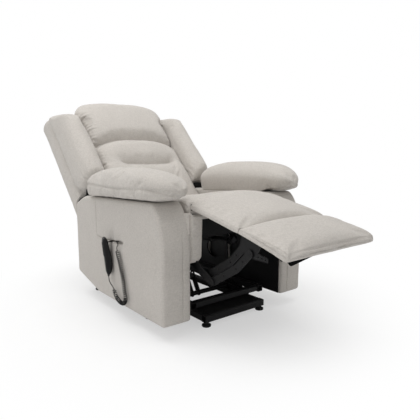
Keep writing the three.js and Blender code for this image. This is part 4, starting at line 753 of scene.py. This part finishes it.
# %% Shape of an arm
ARM_INNER, ARM_OUTER = 261, 396
arm_outline = np.vstack([[(-407, 60), (173, 60), (407, 115)],
                         arc((407, 446), (407, 470), (388, 478), 6), [(388, 478)],
                         arc((350, 494), (318, 508), (285, 516), 6), [(285, 516)],
                         bend((-330, 541), (-374, 516), (-396, 450), (-411, 371), 12), [(-411, 371)]])
POCKET_SLIT_LOW = [(150, 338), (100, 335), (33, 334), (-66, 334), (-100, 342)]
POCKET_SLIT_HIGH = [(-100, 349), (-66, 352), (-45, 348), (33, 341), (100, 339), (150, 340)]
POCKET_SEAM = [(159, 341), (123, 336), (33, 338), (-45, 342), (-104, 350)]
upright = lambda u, v, depth: (depth, u, v)


def dressed_arm(side, name):
    arm = board(f"arm_side_{name}", arm_outline, side * ARM_INNER, side * ARM_OUTER, upright, edge=30, voxel=4.5)
    points = points_of(arm)
    outward = (points[:, 0] * side - 328) / 68
    crown = np.clip(outward, 0, 1) ** 2
    y, z = points[:, 1], points[:, 2]
    inside = ease((y + 400) / 120) * ease((400 - y) / 160) * ease((z - 62) / 120)
    points[:, 0] += side * 3.0 * crown * inside
    move_points(arm, points)
    waves(arm, 1.1, 120, 3 + side)
    outer = side * (ARM_OUTER + 2)
    rear_seam = np.array([(outer, 159, z) for z in np.linspace(509, 345, 60)])
    front_seam = np.array([(side * 301, -409 + 26 * max(0, (z - 371) / 170) ** 2, z)
                           for z in np.linspace(66, 505, 120)])
    inner_edge = np.array([(side * 264, -404, z) for z in np.linspace(66, 480, 120)])
    refined(arm, [rear_seam, front_seam])
    refined(arm, [rear_seam, front_seam], 5)
    sew(arm, rear_seam, crease=2.8, width=2.6, tucks=0.5, reach=14, spacing=30, seed=11)
    sew(arm, front_seam, crease=4.0, width=3.2, tucks=0.6, reach=14, spacing=34, seed=12)
    sew(arm, inner_edge, crease=1.2, width=5, tucks=0.8, reach=18, spacing=40, seed=13)
    return arm, rear_seam, front_seam


# %% Arms, and the pocket in the right one
for side, name in ((-1, "right"), (1, "left")):
    arm, rear_seam, front_seam = dressed_arm(side, name)
    if side < 0:
        slit = np.array([(-ARM_OUTER - 2, y, z) for y, z in through(POCKET_SEAM, 2)])
        refined(arm, [slit])
        sew(arm, slit, crease=4.0, width=6, tucks=1.6, reach=30, spacing=34, seed=21)
        sag = np.array([(-ARM_OUTER, y, 374.0) for y in np.linspace(30, -40, 30)])
        sew(arm, sag, crease=4.0, width=26, ends=40)
        pull = np.array([(-ARM_OUTER, y, 342 + (y + 104) * -0.55) for y in np.linspace(-112, -66, 20)])
        sew(arm, pull, crease=2.6, width=5)
        pull_low = np.array([(-ARM_OUTER, y, 336 - (y + 70) * -0.5) for y in np.linspace(-108, -62, 20)])
        sew(arm, pull_low, crease=2.2, width=5)
        mouth_outline = [*POCKET_SLIT_LOW, *POCKET_SLIT_HIGH]
        cutter = prism("pocket_mouth", mouth_outline, -ARM_OUTER - 20, -ARM_OUTER + 15.5, upright)
        mouth = arm.modifiers.new("mouth", "BOOLEAN")
        mouth.object, mouth.solver = cutter, "EXACT"
        applied(arm)
        bpy.data.objects.remove(cutter)
        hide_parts("arm_body_right", "pocket_panel")
        stitch("chair", arm, slit + (0, 0, -9), aside=0)
    else:
        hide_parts("arm_body_left")
    stitch("chair", arm, rear_seam, aside=3.5)
    stitch("chair", arm, front_seam, aside=3.5)
    arm.data.materials.append(side_cloth)
    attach(arm, "chair")
    print(arm.name, len(arm.data.polygons), "faces")

# %% [markdown]
# ## Seat, chaise and footrest pads
# The seat runs on into the chaise and the footrest as one soft surface. Each is a pillow whose
# height follows a side profile. The top panel is sewn to a side strip along each edge, and the
# cover swells between the seams. The footrest's strip is parted by a second seam. Black cloth
# hangs in front of the seat, and a black strip lies over the rear of each arm, under the wing.

# %% Long pads
SIDE_STEPS, TOP_STEPS, UNDER_STEPS = 8, 92, 30
TOP_SPREAD = 0.92
SEAT_HALF, FOOT_HALF = 250.5, 241


def pad_section(half, low, edge, high, crown, corner=7.0):
    """A pad across: a straight side up to `edge`, a top panel crowned up to `high`, and a flat underside."""
    side = np.linspace(low, edge - corner, SIDE_STEPS + 1)[:-1]
    a = np.sin(np.linspace(-1, 1, TOP_STEPS + 1) * math.pi / 2 * TOP_SPREAD) / math.sin(math.pi / 2 * TOP_SPREAD)
    top = edge - corner + (high - edge) * (1 - np.abs(a) ** crown) + corner * (1 - np.abs(a) ** 60) ** 0.5
    under = np.linspace(-1, 1, UNDER_STEPS + 1)[:-1]
    across = np.concatenate([np.full(SIDE_STEPS, 1.0), -a, np.full(SIDE_STEPS, -1.0)[1:], under])
    height = np.concatenate([side, top, side[::-1][:-1], np.full(UNDER_STEPS, low)])
    return across * half, height


def long_pad(name, stations, half, place, crown=2.6, step=8.0, end_round=(18, 18)):
    """A pad along stations of (position, low, edge, high). place(across, position, height) sets a point."""
    table = np.array(stations, float)
    line = through(table, 2)
    start, end = table[0, 0], table[-1, 0]
    length = abs(end - start)
    t = np.linspace(0, 1, int(length / step) + 1)
    reach = np.array(end_round) / length
    # rings crowd together near the ends, where the pad rounds off
    near = np.array([0.03, 0.12, 0.3, 0.55, 0.8])
    t = np.unique(np.concatenate([t, reach[0] * near, 1 - reach[1] * near]))
    at = start + (end - start) * t
    order = np.argsort(line[:, 0])
    low, edge, high = (np.interp(at, line[order, 0], line[order, k]) for k in (1, 2, 3))
    rings = []
    for k, s in enumerate(at):
        from_end = min(t[k] / reach[0], (1 - t[k]) / reach[1], 1)
        full = math.sqrt(max(0.0, 1 - (1 - from_end) ** 2)) * 0.9 + 0.1
        across, height = pad_section(half - 7 * (1 - full), low[k], edge[k], high[k], crown)
        middle = (low[k] + edge[k]) / 2
        rings.append([place(a, s, middle + (h - middle) * full) for a, h in zip(across, height)])
    rings = np.array(rings)
    return skinned(name, rings), rings


def seam_along(rings, number, first=2, last=2):
    return rings[first:len(rings) - last, number]


# %% Seat
SEAT_BOTTOM = 425.3
SEAT_CROWN = [(172, 452, 470), (150, 464, 484), (100, 480, 497), (40, 491, 506), (-43, 500, 515),
              (-130, 506, 521), (-190, 515, 527), (-240, 525, 543), (-290, 535, 553), (-320, 537, 556),
              (-350, 532, 551), (-374, 523, 538)]
SEAT_STATIONS = [(y, SEAT_BOTTOM, edge, high) for y, edge, high in SEAT_CROWN]
level = lambda across, y, height: (across, y, height)
seat_cushion, seat_rings = long_pad("seat_pad", SEAT_STATIONS, SEAT_HALF, level, end_round=(18, 14))
SEAMS = (SIDE_STEPS, SIDE_STEPS + TOP_STEPS)
LOW_SEAMS = (0, 2 * SIDE_STEPS + TOP_STEPS)
under = list(range(2 * SIDE_STEPS + TOP_STEPS, seat_rings.shape[1]))
fill(seat_cushion, hold(seat_cushion, seat_rings, [*SEAMS, *under]), 6, slack=0.01)
subdivided(seat_cushion)
for k, number in enumerate(SEAMS):
    sew(seat_cushion, seam_along(seat_rings, number), crease=2.4, width=4, tucks=0.8, reach=16, spacing=26,
        seed=31 + k)

# %% Footrest and chaise
SLOPE = math.radians(15.6)
BOARD_FRONT = (-871, 395)


def on_board(across, along, lift):
    return (across, BOARD_FRONT[0] + along * math.cos(SLOPE) - lift * math.sin(SLOPE),
            BOARD_FRONT[1] + along * math.sin(SLOPE) + lift * math.cos(SLOPE))


FOOT_PAD = [(-11, 3, 28, 34), (0, 1.5, 34, 43), (30, 1, 37, 52), (100, 1, 33, 56),
            (160, 1, 27, 54), (195, 0, 22, 46), (214, -1, 20, 36), (226, -1, 18, 25)]
CHAISE_PAD = [(226, -2, 18, 24), (240, -4, 19, 33), (262, -6, 18, 42), (330, -10, 14, 47),
              (420, -17, 6, 43), (480, -22, -2, 36), (530, -27, -9, 26), (556, -29, -12, 14)]
foot_pad, foot_rings = long_pad("footrest_cover", FOOT_PAD, FOOT_HALF, on_board, end_round=(10, 4))
chaise_pad, chaise_rings = long_pad("chaise_cover", CHAISE_PAD, FOOT_HALF, on_board, end_round=(4, 12))
for pad, rings, seed in ((foot_pad, foot_rings, 41), (chaise_pad, chaise_rings, 51)):
    fill(pad, hold(pad, rings, [*SEAMS, *LOW_SEAMS, *under]), 5, slack=0.01)
    subdivided(pad)
    for k, number in enumerate(SEAMS):
        sew(pad, seam_along(rings, number, 1, 1), crease=2.8, width=3.4, tucks=0.9, reach=15, spacing=22,
            seed=seed + k, ends=4)
for side in (1, -1):
    # the footrest's side strip is parted by a second seam
    low_strip = [on_board(side * FOOT_HALF, along, 15) for along in np.linspace(-4, 190, 120)]
    sew(foot_pad, low_strip, crease=2.8, width=3.2, seed=46, ends=4)
front_top = [on_board(a, -6, 34) for a in np.linspace(-232, 232, 200)]
sew(foot_pad, front_top, crease=3.4, width=4, tucks=0.5, reach=14, spacing=40, seed=61, ends=4)
for pad, body, name in ((seat_cushion, "carriage", "seat_cushion"), (foot_pad, "footrest", "footrest_pad"),
                        (chaise_pad, "footrest", "chaise_pad")):
    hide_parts(name)
    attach(pad, body)

# %% Black lining cloth before the seat and over the rear of each arm
CORNERS = ((-1, -1), (1, -1), (1, 1), (-1, 1))
FLAP_INNER, FLAP_OUTER = 264, 388
FLAP_FALL = [(286, 547), (288, 526), (296, 517), (350, 498), (386, 483), (401, 466), (403, 440)]
front_cloth = skinned("seat_front_cloth", [[(237 * a, -373.4 - 0.7 * b, z) for a, b in CORNERS]
                                           for z in np.linspace(386, 528, 12)])
front_cloth.data.shade_flat()
for side, name in ((-1, "right"), (1, "left")):
    inner, outer = side * FLAP_INNER, side * FLAP_OUTER
    flap = skinned(f"arm_flap_{name}", [[(inner, y, z), (outer, y, z), (outer, y - 0.8, z - 1.2),
                                         (inner, y - 0.8, z - 1.2)] for y, z in through(FLAP_FALL, 2)])
    flap.data.shade_flat()
    flap.data.materials.append(lining_cloth)
    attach(flap, "chair")
front_cloth.data.materials.append(lining_cloth)
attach(front_cloth, "carriage")

# %% Stitches and unevenness of the long pads
for pad, rings, body in ((seat_cushion, seat_rings, "carriage"), (foot_pad, foot_rings, "footrest")):
    for number, side in zip(SEAMS, (1, -1)):
        stitch(body, pad, seam_along(rings, number), aside=3.2 * side)
stitch("footrest", foot_pad, front_top, aside=3.2)
waves(seat_cushion, 1.5, 110, 7)
waves(foot_pad, 1.5, 90, 8)
waves(chaise_pad, 1.5, 100, 9)
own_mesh(chaise_pad)

# %% [markdown]
# ## The backrest
# The backrest leans 45 degrees from its hinge. Its pieces are drawn in their own frame, as
# (across, forward, up the back). The middle cushion has three parts: a lumbar part, a bolster and
# a head pillow, parted by a short low channel and a long arched seam.

# %% Backrest frame
BACK_PIVOT = np.array([0, 230, 440.0])
LEAN = math.radians(45)
UP_BACK = np.array([0, math.sin(LEAN), math.cos(LEAN)])
FORWARD = np.array([0, -math.cos(LEAN), math.sin(LEAN)])


def on_back(across, forward, up):
    return np.array([across, 0, 0]) + BACK_PIVOT + forward * FORWARD + up * UP_BACK


# %% Middle cushion
BACK_HALF = 258
CHANNEL_AT, SEAM_AT = 0.34, 0.58        # shares of the cushion's rows
head_seam = lambda across: 440 - 40 * abs(across) ** 2.3
top_edge = lambda across: 752 - 8 * across ** 2 - 62 * abs(across) ** 8
channel_up = lambda across: 244 + 20 * min(1, abs(across - 0.07) / 0.7) ** 2
up_at = lambda t, across: float(np.interp(t, [0, CHANNEL_AT, SEAM_AT, 1],
                                          [-14, channel_up(across), head_seam(across), top_edge(across)]))


def back_depth(x, up):
    """How far the cushion's front stands forward, at a place across and up."""
    across, signed, channel = abs(x) / BACK_HALF, x / BACK_HALF, channel_up(x / BACK_HALF)
    seam, top = head_seam(across), top_edge(across)
    groove = lambda d, depth, width: depth * math.exp(-abs(d / width) ** 1.6)
    forward = 50 + 16 * math.sin(min(1, max(0, up / channel)) * math.pi * 0.8) if up < channel else 60
    forward += 26 * (1 - across ** 2.4) * float(ease(up / 120))
    forward += 9 * math.sin(math.pi * min(1, max(0, (up - seam) / (top - seam))))
    forward -= groove(up - seam, 36, 23)
    forward -= groove(up - channel, 26, 19) * (1 - float(ease((abs(signed - 0.07) - 0.5) / 0.28)))
    return forward - 16 * float(ease((up - top + 80) / 80))


COLUMNS, SIDE_POINTS, ROWS = 82, 12, 104
turns = np.linspace(math.pi, 0, 241)
front_x = np.sign(np.cos(turns)) * np.abs(np.cos(turns)) ** (2 / 6.5)
front_rise = np.abs(np.sin(turns)) ** (2 / 6.5)
row_at = np.array([k / ROWS - 0.018 * math.sin(2 * math.pi * k / ROWS) for k in range(ROWS + 1)])
back_rings = []
for t in row_at:
    half = BACK_HALF - 4 * (1 - min(1, t / 0.2))
    lift = min(1, (1 - t) / 0.055, (t + 0.004) / 0.05)
    close = math.sqrt(max(0.0, 1 - (1 - lift) ** 2)) * 0.93 + 0.07
    section = []
    for a, rise in zip(front_x, front_rise):
        up = up_at(t, a)
        forward = back_depth(a * half, up) * rise * max(close, 0.1 * t)
        # the head pillow's sides swell out over the wings
        swell = 7 * float(ease((up - 430) / 90)) + 22 * float(ease((up - 565) / 80))
        outward = swell * float(ease((abs(a) - 0.5) / 0.4) * ease((forward - 4) / 30)) * close
        section.append((a * half + math.copysign(outward, a), forward, up))
    ring = [on_back(*p) for p in evenly(np.array(section), COLUMNS + 1)]
    for k in range(SIDE_POINTS):
        across = half - (2 * half) * k / (SIDE_POINTS - 1)
        depth, side_up = -58 * (0.75 + 0.25 * close), up_at(t, across / BACK_HALF)
        if k == 0:
            ring.append(on_back(half, depth * 0.5, side_up))
        ring.append(on_back(across * (1 - 8 / BACK_HALF), depth, side_up))
        if k == SIDE_POINTS - 1:
            ring.append(on_back(-half, depth * 0.5, side_up))
    back_rings.append(ring)
back_rings = np.array(back_rings)

# %% Filling and sewing the middle cushion
back_cushion = skinned("back_middle_cushion", back_rings)
count = back_rings.shape[1]
numbers = np.arange(len(back_rings) * count)
column, row = numbers % count, numbers // count
held = np.zeros(len(back_cushion.data.vertices), bool)
seam_row = int(np.argmin(np.abs(row_at - SEAM_AT)))
channel_row = int(np.argmin(np.abs(row_at - CHANNEL_AT)))
held[:len(numbers)] = (column > COLUMNS - 1) | (column < 1) | (row == seam_row) | \
    ((row == channel_row) & (abs(column - COLUMNS * 0.53) < COLUMNS * 0.26))
fill(back_cushion, held, 11, slack=0.012)
subdivided(back_cushion)
head_line = back_rings[seam_row, 3:COLUMNS - 2]
low_line = back_rings[channel_row, int(COLUMNS * 0.22):int(COLUMNS * 0.84)]
sew(back_cushion, head_line, crease=6, width=5, tucks=2.4, reach=20, spacing=30, seed=71, ends=2)
sew(back_cushion, low_line, crease=4, width=6, ends=50)
for k, part in enumerate((slice(0, 20), slice(COLUMNS - 19, COLUMNS + 1))):
    # the edge between the front and the side, where the boxing is sewn on
    edge = np.array([ring[part][np.argmax(np.abs(ring[part][:, 0]) + (ring[part] - BACK_PIVOT) @ FORWARD)]
                     for ring in back_rings])
    head_edge, low_edge = edge[seam_row - 2:ROWS - 4], edge[8:seam_row - 2]
    sew(back_cushion, head_edge, crease=2.2, width=4, tucks=7, reach=36, spacing=23, seed=73 + k, ends=12)
    sew(back_cushion, low_edge, crease=1.4, width=4, tucks=4, reach=26, spacing=20, seed=75 + k, ends=12)
waves(back_cushion, 2.0, 120, 12)
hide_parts("back_cushion")
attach(back_cushion, "back")
stitch("back", back_cushion, head_line, aside=-5)

# %% [markdown]
# ## Wings
# A bolster on each side stands proud of the middle cushion and rounds over the frame's edge. Its
# section is one smooth closed curve with a small step where the flat side strip is sewn on. Its
# lower end follows the arm and the arm pillow that it passes as the back reclines.

# %% Shape of a wing
WING_SECTION = [(262, 0), (264, 44), (281, 88), (308, 115), (338, 121), (366, 104), (385, 64), (393, 8),
                (393, -34), (388, -50), (377.5, -60), (380.5, -72), (384, -92), (385.5, -120), (383, -160),
                (372, -190), (345, -195), (300, -195), (263, -194), (262, -110), (262, -50)]
WING_CREST = [(-196, 778), (-120, 764), (-60, 733), (-20, 706), (20, 668), (60, 634), (100, 600), (124, 540)]
WING_FOOT = [(-240, 104), (-190, 104), (-152, 124), (-104, 156), (-66, 153), (-58, 168), (-22, 141), (0, 125),
             (20, 122), (50, 130), (100, 140), (160, 146)]
CREST_ROUNDING, FOOT_ROUNDING = 25, 52
FOOT_ROWS = 8


def sunk(x, forward):
    """How much lower the wing's inner front edge ends than its crest."""
    return 34 * float(ease((284 - x) / 20) * ease((forward + 30) / 30))


def puffiness(forward):
    """1 on the puffy front part, 0 on the flat strip behind it."""
    return float(ease((forward + 66) / 12))


def wing_rings(side, rows=72, cap_rows=14, count=96):
    closed = np.array(WING_SECTION + WING_SECTION[:3], float)
    line = through(np.vstack([WING_SECTION[-2:], closed]), 2)
    first = np.argmin(np.linalg.norm(line - closed[0], axis=1))
    last = len(line) - 1 - np.argmin(np.linalg.norm(line[::-1] - closed[0], axis=1)[:len(line) // 2])
    section = evenly(line[first:last + 1], count + 1)[:-1]
    crest = through(WING_CREST, 4)
    crest_at = lambda f: float(np.interp(f, crest[:, 0], crest[:, 1]))
    foot_at = lambda f: float(np.interp(f, [p[0] for p in WING_FOOT], [p[1] for p in WING_FOOT])) + 2
    rings = []
    # the lower end of the puffy front part is rounded; the flat strip behind it runs on
    for k in range(FOOT_ROWS):
        angle = (k + 0.5) / FOOT_ROWS * math.pi / 2
        rings.append([])
        for x, forward in section:
            puffy = puffiness(forward)
            full = 1 - (1 - (0.35 + 0.65 * math.sin(angle))) * puffy
            f = forward if forward < -60 else 5 + (forward - 5) * full
            a = x if x <= 266 else 266 + (x - 266) * (1 - (1 - full) * 0.8)
            up = foot_at(f) + FOOT_ROUNDING * (1 - math.cos(angle)) * (0.2 + 0.8 * puffy)
            rings[-1].append(on_back(side * a, f, up))
    for r in range(1, rows + 1):
        t = r / rows
        ring = []
        for x, forward in section:
            low = foot_at(forward) + FOOT_ROUNDING * (0.2 + 0.8 * puffiness(forward))
            up = low + (crest_at(forward) - CREST_ROUNDING - sunk(x, forward) - low) * t
            aside = 9 * float(ease((up - 420) / 120) * ease((300 - x) / 20) * ease((forward + 20) / 30))
            ring.append(on_back(side * (x + aside), forward, up))
        rings.append(ring)
    for k in range(1, cap_rows + 1):
        full = math.cos(k / (cap_rows + 0.6) * math.pi / 2)
        ring = []
        for x, forward in section:
            f = -45 + (forward + 45) * full
            aside = 9 * float(ease((300 - x) / 20) * ease((forward + 20) / 30)) * full
            a = 325 + (x - 325) * (full if x > 262.5 else 0.8 + 0.2 * full) + aside
            up = crest_at(f) - CREST_ROUNDING * (1 - math.sqrt(1 - full ** 2)) - sunk(x, forward) * full
            ring.append(on_back(side * a, f, up))
        rings.append(ring)
    return np.array(rings)


# %% Wings
wing_net = wing_rings(-1)
wing_right = skinned("back_wing_pad_right", wing_net)
count = wing_net.shape[1]
section_x = np.abs(wing_net[40, :, 0])
section_forward = (wing_net[40] - BACK_PIVOT) @ FORWARD
inner = section_x < 268
rear = section_forward < -188
boxing = int(np.argmin(np.abs(section_forward + 60) + 10 * (section_x < 370)))
held = np.zeros(len(wing_right.data.vertices), bool)
numbers = np.arange(len(wing_net) * count)
held[:len(numbers)] = (inner | rear)[numbers % count] | (numbers % count == boxing)
fill(wing_right, held, 4, slack=0.006)
subdivided(wing_right)
boxing_line = wing_net[3:-12, boxing]
refined(wing_right, [boxing_line])
sew(wing_right, boxing_line, crease=4.2, width=3.4, tucks=1.2, reach=18, spacing=24, seed=81)
foot_line, crest_line = wing_net[FOOT_ROWS - 1, 2:boxing + 2], wing_net[-13, 2:boxing + 2]
sew(wing_right, foot_line, crease=2, width=6, tucks=4.5, reach=34, spacing=26, seed=85, ends=10)
sew(wing_right, crest_line, crease=0.6, width=6, tucks=1.6, reach=26, spacing=30, seed=86, ends=10)
waves(wing_right, 1.6, 110, 14)
wing_left = mirrored(wing_right, "back_wing_pad_left")
for wing, side, name in ((wing_right, 1, "right"), (wing_left, -1, "left")):
    stitch("back", wing, boxing_line * (side, 1, 1), aside=3.2 * side)
    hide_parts(f"back_wing_{name}")
    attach(wing, "back")

# %% [markdown]
# ## Rear cover of the backrest
# A lightly padded panel closes the back from behind. It is a board like the arms, with two upright
# seams and a hem at its lower edge.

# %% Rear cover
PANEL_NEAR, PANEL_FAR = -190.3, -196
panel_outline = [(-250, -18), (250, -18), (250, 104), (261.5, 104), (261.5, 712), (250, 721),
                 (-250, 721), (-261.5, 712), (-261.5, 104), (-250, 104)]
rear_cover = board("back_rear_cover", panel_outline, PANEL_NEAR - 0.3, PANEL_FAR - 3,
                   lambda u, v, depth: on_back(u, depth, v), edge=3, voxel=4.0)
points = points_of(rear_cover)
local_up = (points - BACK_PIVOT) @ UP_BACK
outer_side = ((points - BACK_PIVOT) @ FORWARD) < -194
swell = (5.0 * ease((local_up + 18) / 120) * ease((721 - local_up) / 120)
         * ease((250 - abs(points[:, 0])) / 90) * outer_side)
move_points(rear_cover, points - FORWARD * swell[:, None])
for k, x in enumerate((-168, 168)):
    seam = [on_back(x, PANEL_FAR - 6, up) for up in np.linspace(-12, 715, 300)]
    sew(rear_cover, seam, crease=2.0, width=5, tucks=0.9, reach=22, spacing=60, seed=91 + k)
    stitch("back", rear_cover, seam, aside=4)
hem = [on_back(x, PANEL_FAR - 3, 12) for x in np.linspace(-240, 240, 200)]
sew(rear_cover, hem, crease=1.2, width=4, tucks=0.8, reach=16, spacing=30, seed=95)
stitch("back", rear_cover, hem, aside=0)
waves(rear_cover, 1.4, 150, 15)
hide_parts("back_panel")
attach(rear_cover, "back")

# %% [markdown]
# ## Gussets
# A strip of cloth fills the corner between each arm and the footrest, gathered along the arm's
# edge, and its outer edge turns back around the arm's rounded corner. On the real chair it crumples
# against the arm as the footrest folds.

# %% Gussets
GUSSET_LOW, GUSSET_HIGH, GUSSET_OUTER, GUSSET_FACE = 297, 498, 279, 396
GUSSET_ROWS, GUSSET_COLUMNS = 64, 96
gussets = []
arm_front = arm_outline[-13:][::-1]


def arm_front_at(z):
    return float(np.interp(z, arm_front[:, 1], arm_front[:, 0]))


for side, name in ((1, "left"), (-1, "right")):
    rings = []
    for r in range(GUSSET_ROWS + 1):
        t = r / GUSSET_ROWS
        z = GUSSET_LOW + (GUSSET_HIGH - GUSSET_LOW) * t
        inner = 200 + 5 * (1 - ease(t)) + 20 * max(0, 1 - t / 0.14) ** 2
        lift = min(1, t / 0.09, (1 - t) / 0.02)
        thick = 8.5 * math.sqrt(max(0.05, 1 - (1 - lift) ** 2))
        across, depth = rounded_ring(GUSSET_COLUMNS, (GUSSET_OUTER - inner) / 2, thick * 0.5, thick, 3.2)
        across = (GUSSET_OUTER + inner) / 2 + across
        wrapped = np.clip((across - 246) / 33, 0, 1) ** 1.6
        depth = -depth - GUSSET_FACE + (arm_front_at(z) + 12 + GUSSET_FACE) * wrapped
        # the part in front of the seat stops below the chaise's path
        top = 484 + 14 * ease((across - 247) / 8)
        rings.append(np.stack([side * across, depth, GUSSET_LOW + (top - GUSSET_LOW) * t], 1))
    rings = np.array(rings)
    gusset = skinned(f"gusset_cover_{name}", rings)
    subdivided(gusset)
    edge_line = [(side * 258, arm_front_at(z) * 0.25 - 404 * 0.75, z) for z in np.linspace(304, 492, 100)]
    sew(gusset, edge_line, crease=9, width=4.5, tucks=4, reach=20, spacing=17, seed=101 + side, ends=3)
    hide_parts(f"gusset_{name}")
    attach(gusset, "chair")
    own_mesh(gusset)
    gussets.append(gusset)

# %% [markdown]
# ## Thread, cord and the finishes of the frame
# The stitches gathered so far become one mesh for each body. The steel and plastic nodes keep
# their own meshes: a weld joins their loose edges, a fine bevel gives each edge a line of light,
# and the finish goes into their material slots.

# %% Thread
for body in thread_points:
    thread = mesh_object(f"stitching_{body}", thread_points[body], thread_faces[body])
    thread.data.materials.append(thread_look)
    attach(thread, body)
    print(thread.name, len(thread.data.polygons), "faces")

# %% Covers
for piece in (arm_pad_right, arm_pad_left):
    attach(piece, "chair")
for piece in (arm_pad_right, arm_pad_left, seat_cushion, foot_pad, chaise_pad, back_cushion,
              wing_right, wing_left, *gussets):
    piece.data.materials.clear()
    piece.data.materials.append(cover_cloth)
rear_cover.data.materials.append(side_cloth)

# %% Cord
handset_cord.data.materials.append(cord_rubber)
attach(handset_cord, "chair")
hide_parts("cord_lower", "curly_cord", "cord_upper")

# %% Grommet
GROMMET_ROUND, GROMMET_SIDES = 32, 12


def grommet_point(a, b):
    out = 3.9 + 1.5 * math.sin(a)
    return -380.5 - 1.8 * math.cos(a), CORD_EXIT[1] + out * math.cos(b), CORD_EXIT[2] + out * math.sin(b)


grommet_points = [grommet_point(a, b) for b in np.arange(GROMMET_ROUND) / GROMMET_ROUND * 2 * math.pi
                  for a in np.arange(GROMMET_SIDES) / GROMMET_SIDES * 2 * math.pi]
grommet_faces = []
for r in range(GROMMET_ROUND):
    here, there = r * GROMMET_SIDES, (r + 1) % GROMMET_ROUND * GROMMET_SIDES
    for k in range(GROMMET_SIDES):
        beside = (k + 1) % GROMMET_SIDES
        grommet_faces.append((here + k, here + beside, there + beside, there + k))
grommet = mesh_object("cord_grommet", grommet_points, grommet_faces)
grommet.data.materials.append(cord_rubber)
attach(grommet, "chair")

# %% Steel, plastic and wood
looks = {"black_steel": powder_coat, "bright_steel": zinc, "black_plastic": handset_plastic,
         "key_plastic": key_rubber, "wood": stained_wood, "cord": cord_rubber, "lining": lining_cloth,
         "fabric": cover_cloth, "side_fabric": side_cloth}
slots = {m["slot"]: m for m in frame["record"]["materials"]}
slot_of = {n: s for s, m in slots.items() for n in m.get("nodes", [])}
print("slots", {s: len(m.get("nodes", [])) for s, m in slots.items()})
for name, piece in cad_nodes.items():
    if piece.hide_render:
        continue
    look = looks.get(slot_of.get(name, ""), powder_coat)
    if piece.material_slots:
        for one in piece.material_slots:
            one.material = look
    else:
        piece.data.materials.append(look)
    weld = piece.modifiers.new("weld", "WELD")
    weld.merge_threshold = 0.00002
    bevel = piece.modifiers.new("edge", "BEVEL")
    bevel.width, bevel.segments, bevel.limit_method, bevel.angle_limit = 0.0006, 2, "ANGLE", EDGE_ANGLE

# %% [markdown]
# ## Floor and light
# The chair stands on a plain white floor that keeps its soft shadow and turns into the white
# background a little way off. Two large lamps high above the chair do the work, a weak one helps
# from the camera's left, and a pale world fills the shadows.

# %% Floor
FLOOR_REACH = 9000
FLOOR_COLOUR = (0.92, 0.925, 0.93)
floor = mesh_object("floor", [(a * FLOOR_REACH, b * FLOOR_REACH, 0) for a, b in CORNERS], [(0, 1, 2, 3)])
floor_look, tree, shader = finish_named("pale floor", FLOOR_COLOUR, 0.6, Specular_IOR_Level=0.1)
place = node(tree, "TexCoord").outputs["Object"]
distance = node(tree, "VectorMath", operation="LENGTH")
tree.links.new(place, distance.inputs[0])
far = node(tree, "MapRange")
far.interpolation_type = "SMOOTHSTEP"
far.inputs["From Min"].default_value, far.inputs["From Max"].default_value = 0.45, 1.15
far.inputs["To Min"].default_value = 0.5
tree.links.new(distance.outputs["Value"], far.inputs["Value"])
# painted shade: a faint noise darkens the floor's colour in blotches, standing in for the cloudy shadow under the
# chair
painted_blotchy_shade = noise_of(tree, place, 5, 6)
tree.links.new(tinted(tree, FLOOR_COLOUR, spread_of(tree, painted_blotchy_shade, 0.97, 1.0)), shader.inputs["Base Color"])
seen = node(tree, "LightPath")
white = node(tree, "Emission")
mixed = node(tree, "MixShader")
whitened = math_of(tree, "MULTIPLY", far.outputs[0], seen.outputs["Is Camera Ray"])
tree.links.new(whitened, mixed.inputs["Fac"])
tree.links.new(shader.outputs[0], mixed.inputs[1])
tree.links.new(white.outputs[0], mixed.inputs[2])
tree.links.new(mixed.outputs[0], tree.nodes["Material Output"].inputs["Surface"])
floor.data.materials.append(floor_look)

# %% Light
world = bpy.data.worlds.new("studio")
scene.world = world
world.use_nodes = True
tree = world.node_tree
ambient = tree.nodes["Background"]
ambient.inputs["Color"].default_value = (1, 0.99, 0.975, 1)
ambient.inputs["Strength"].default_value = 0.56
backdrop = node(tree, "Background", Color=(1, 1, 1, 1), Strength=1.0)
seen, mixed = node(tree, "LightPath"), node(tree, "MixShader")
mirrored_or_through = math_of(tree, "MAXIMUM", seen.outputs["Is Glossy Ray"], seen.outputs["Is Transmission Ray"])
shown = math_of(tree, "MAXIMUM", seen.outputs["Is Camera Ray"], mirrored_or_through)
tree.links.new(shown, mixed.inputs["Fac"])
tree.links.new(ambient.outputs[0], mixed.inputs[1])
tree.links.new(backdrop.outputs[0], mixed.inputs[2])
tree.links.new(mixed.outputs[0], tree.nodes["World Output"].inputs["Surface"])


def soft_lamp(name, at, aim, size, power):
    lamp = bpy.data.objects.new(name, bpy.data.lights.new(name, "AREA"))
    lamp.data.shape, lamp.data.size, lamp.data.energy = "DISK", size, power
    lamp.location = at
    lamp.rotation_euler = (Vector(aim) - Vector(at)).to_track_quat("-Z", "Y").to_euler()
    scene.collection.objects.link(lamp)


soft_lamp("key", (-1.2, 0.6, 3.6), (0, 0, 0.4), 2.4, 50)
soft_lamp("top", (0.2, -0.9, 3.8), (0, 0, 0.4), 2.0, 28)
soft_lamp("fill", (-3.2, -1.6, 1.8), (0, 0, 0.5), 2.4, 10)
scene.view_settings.view_transform = "Standard"
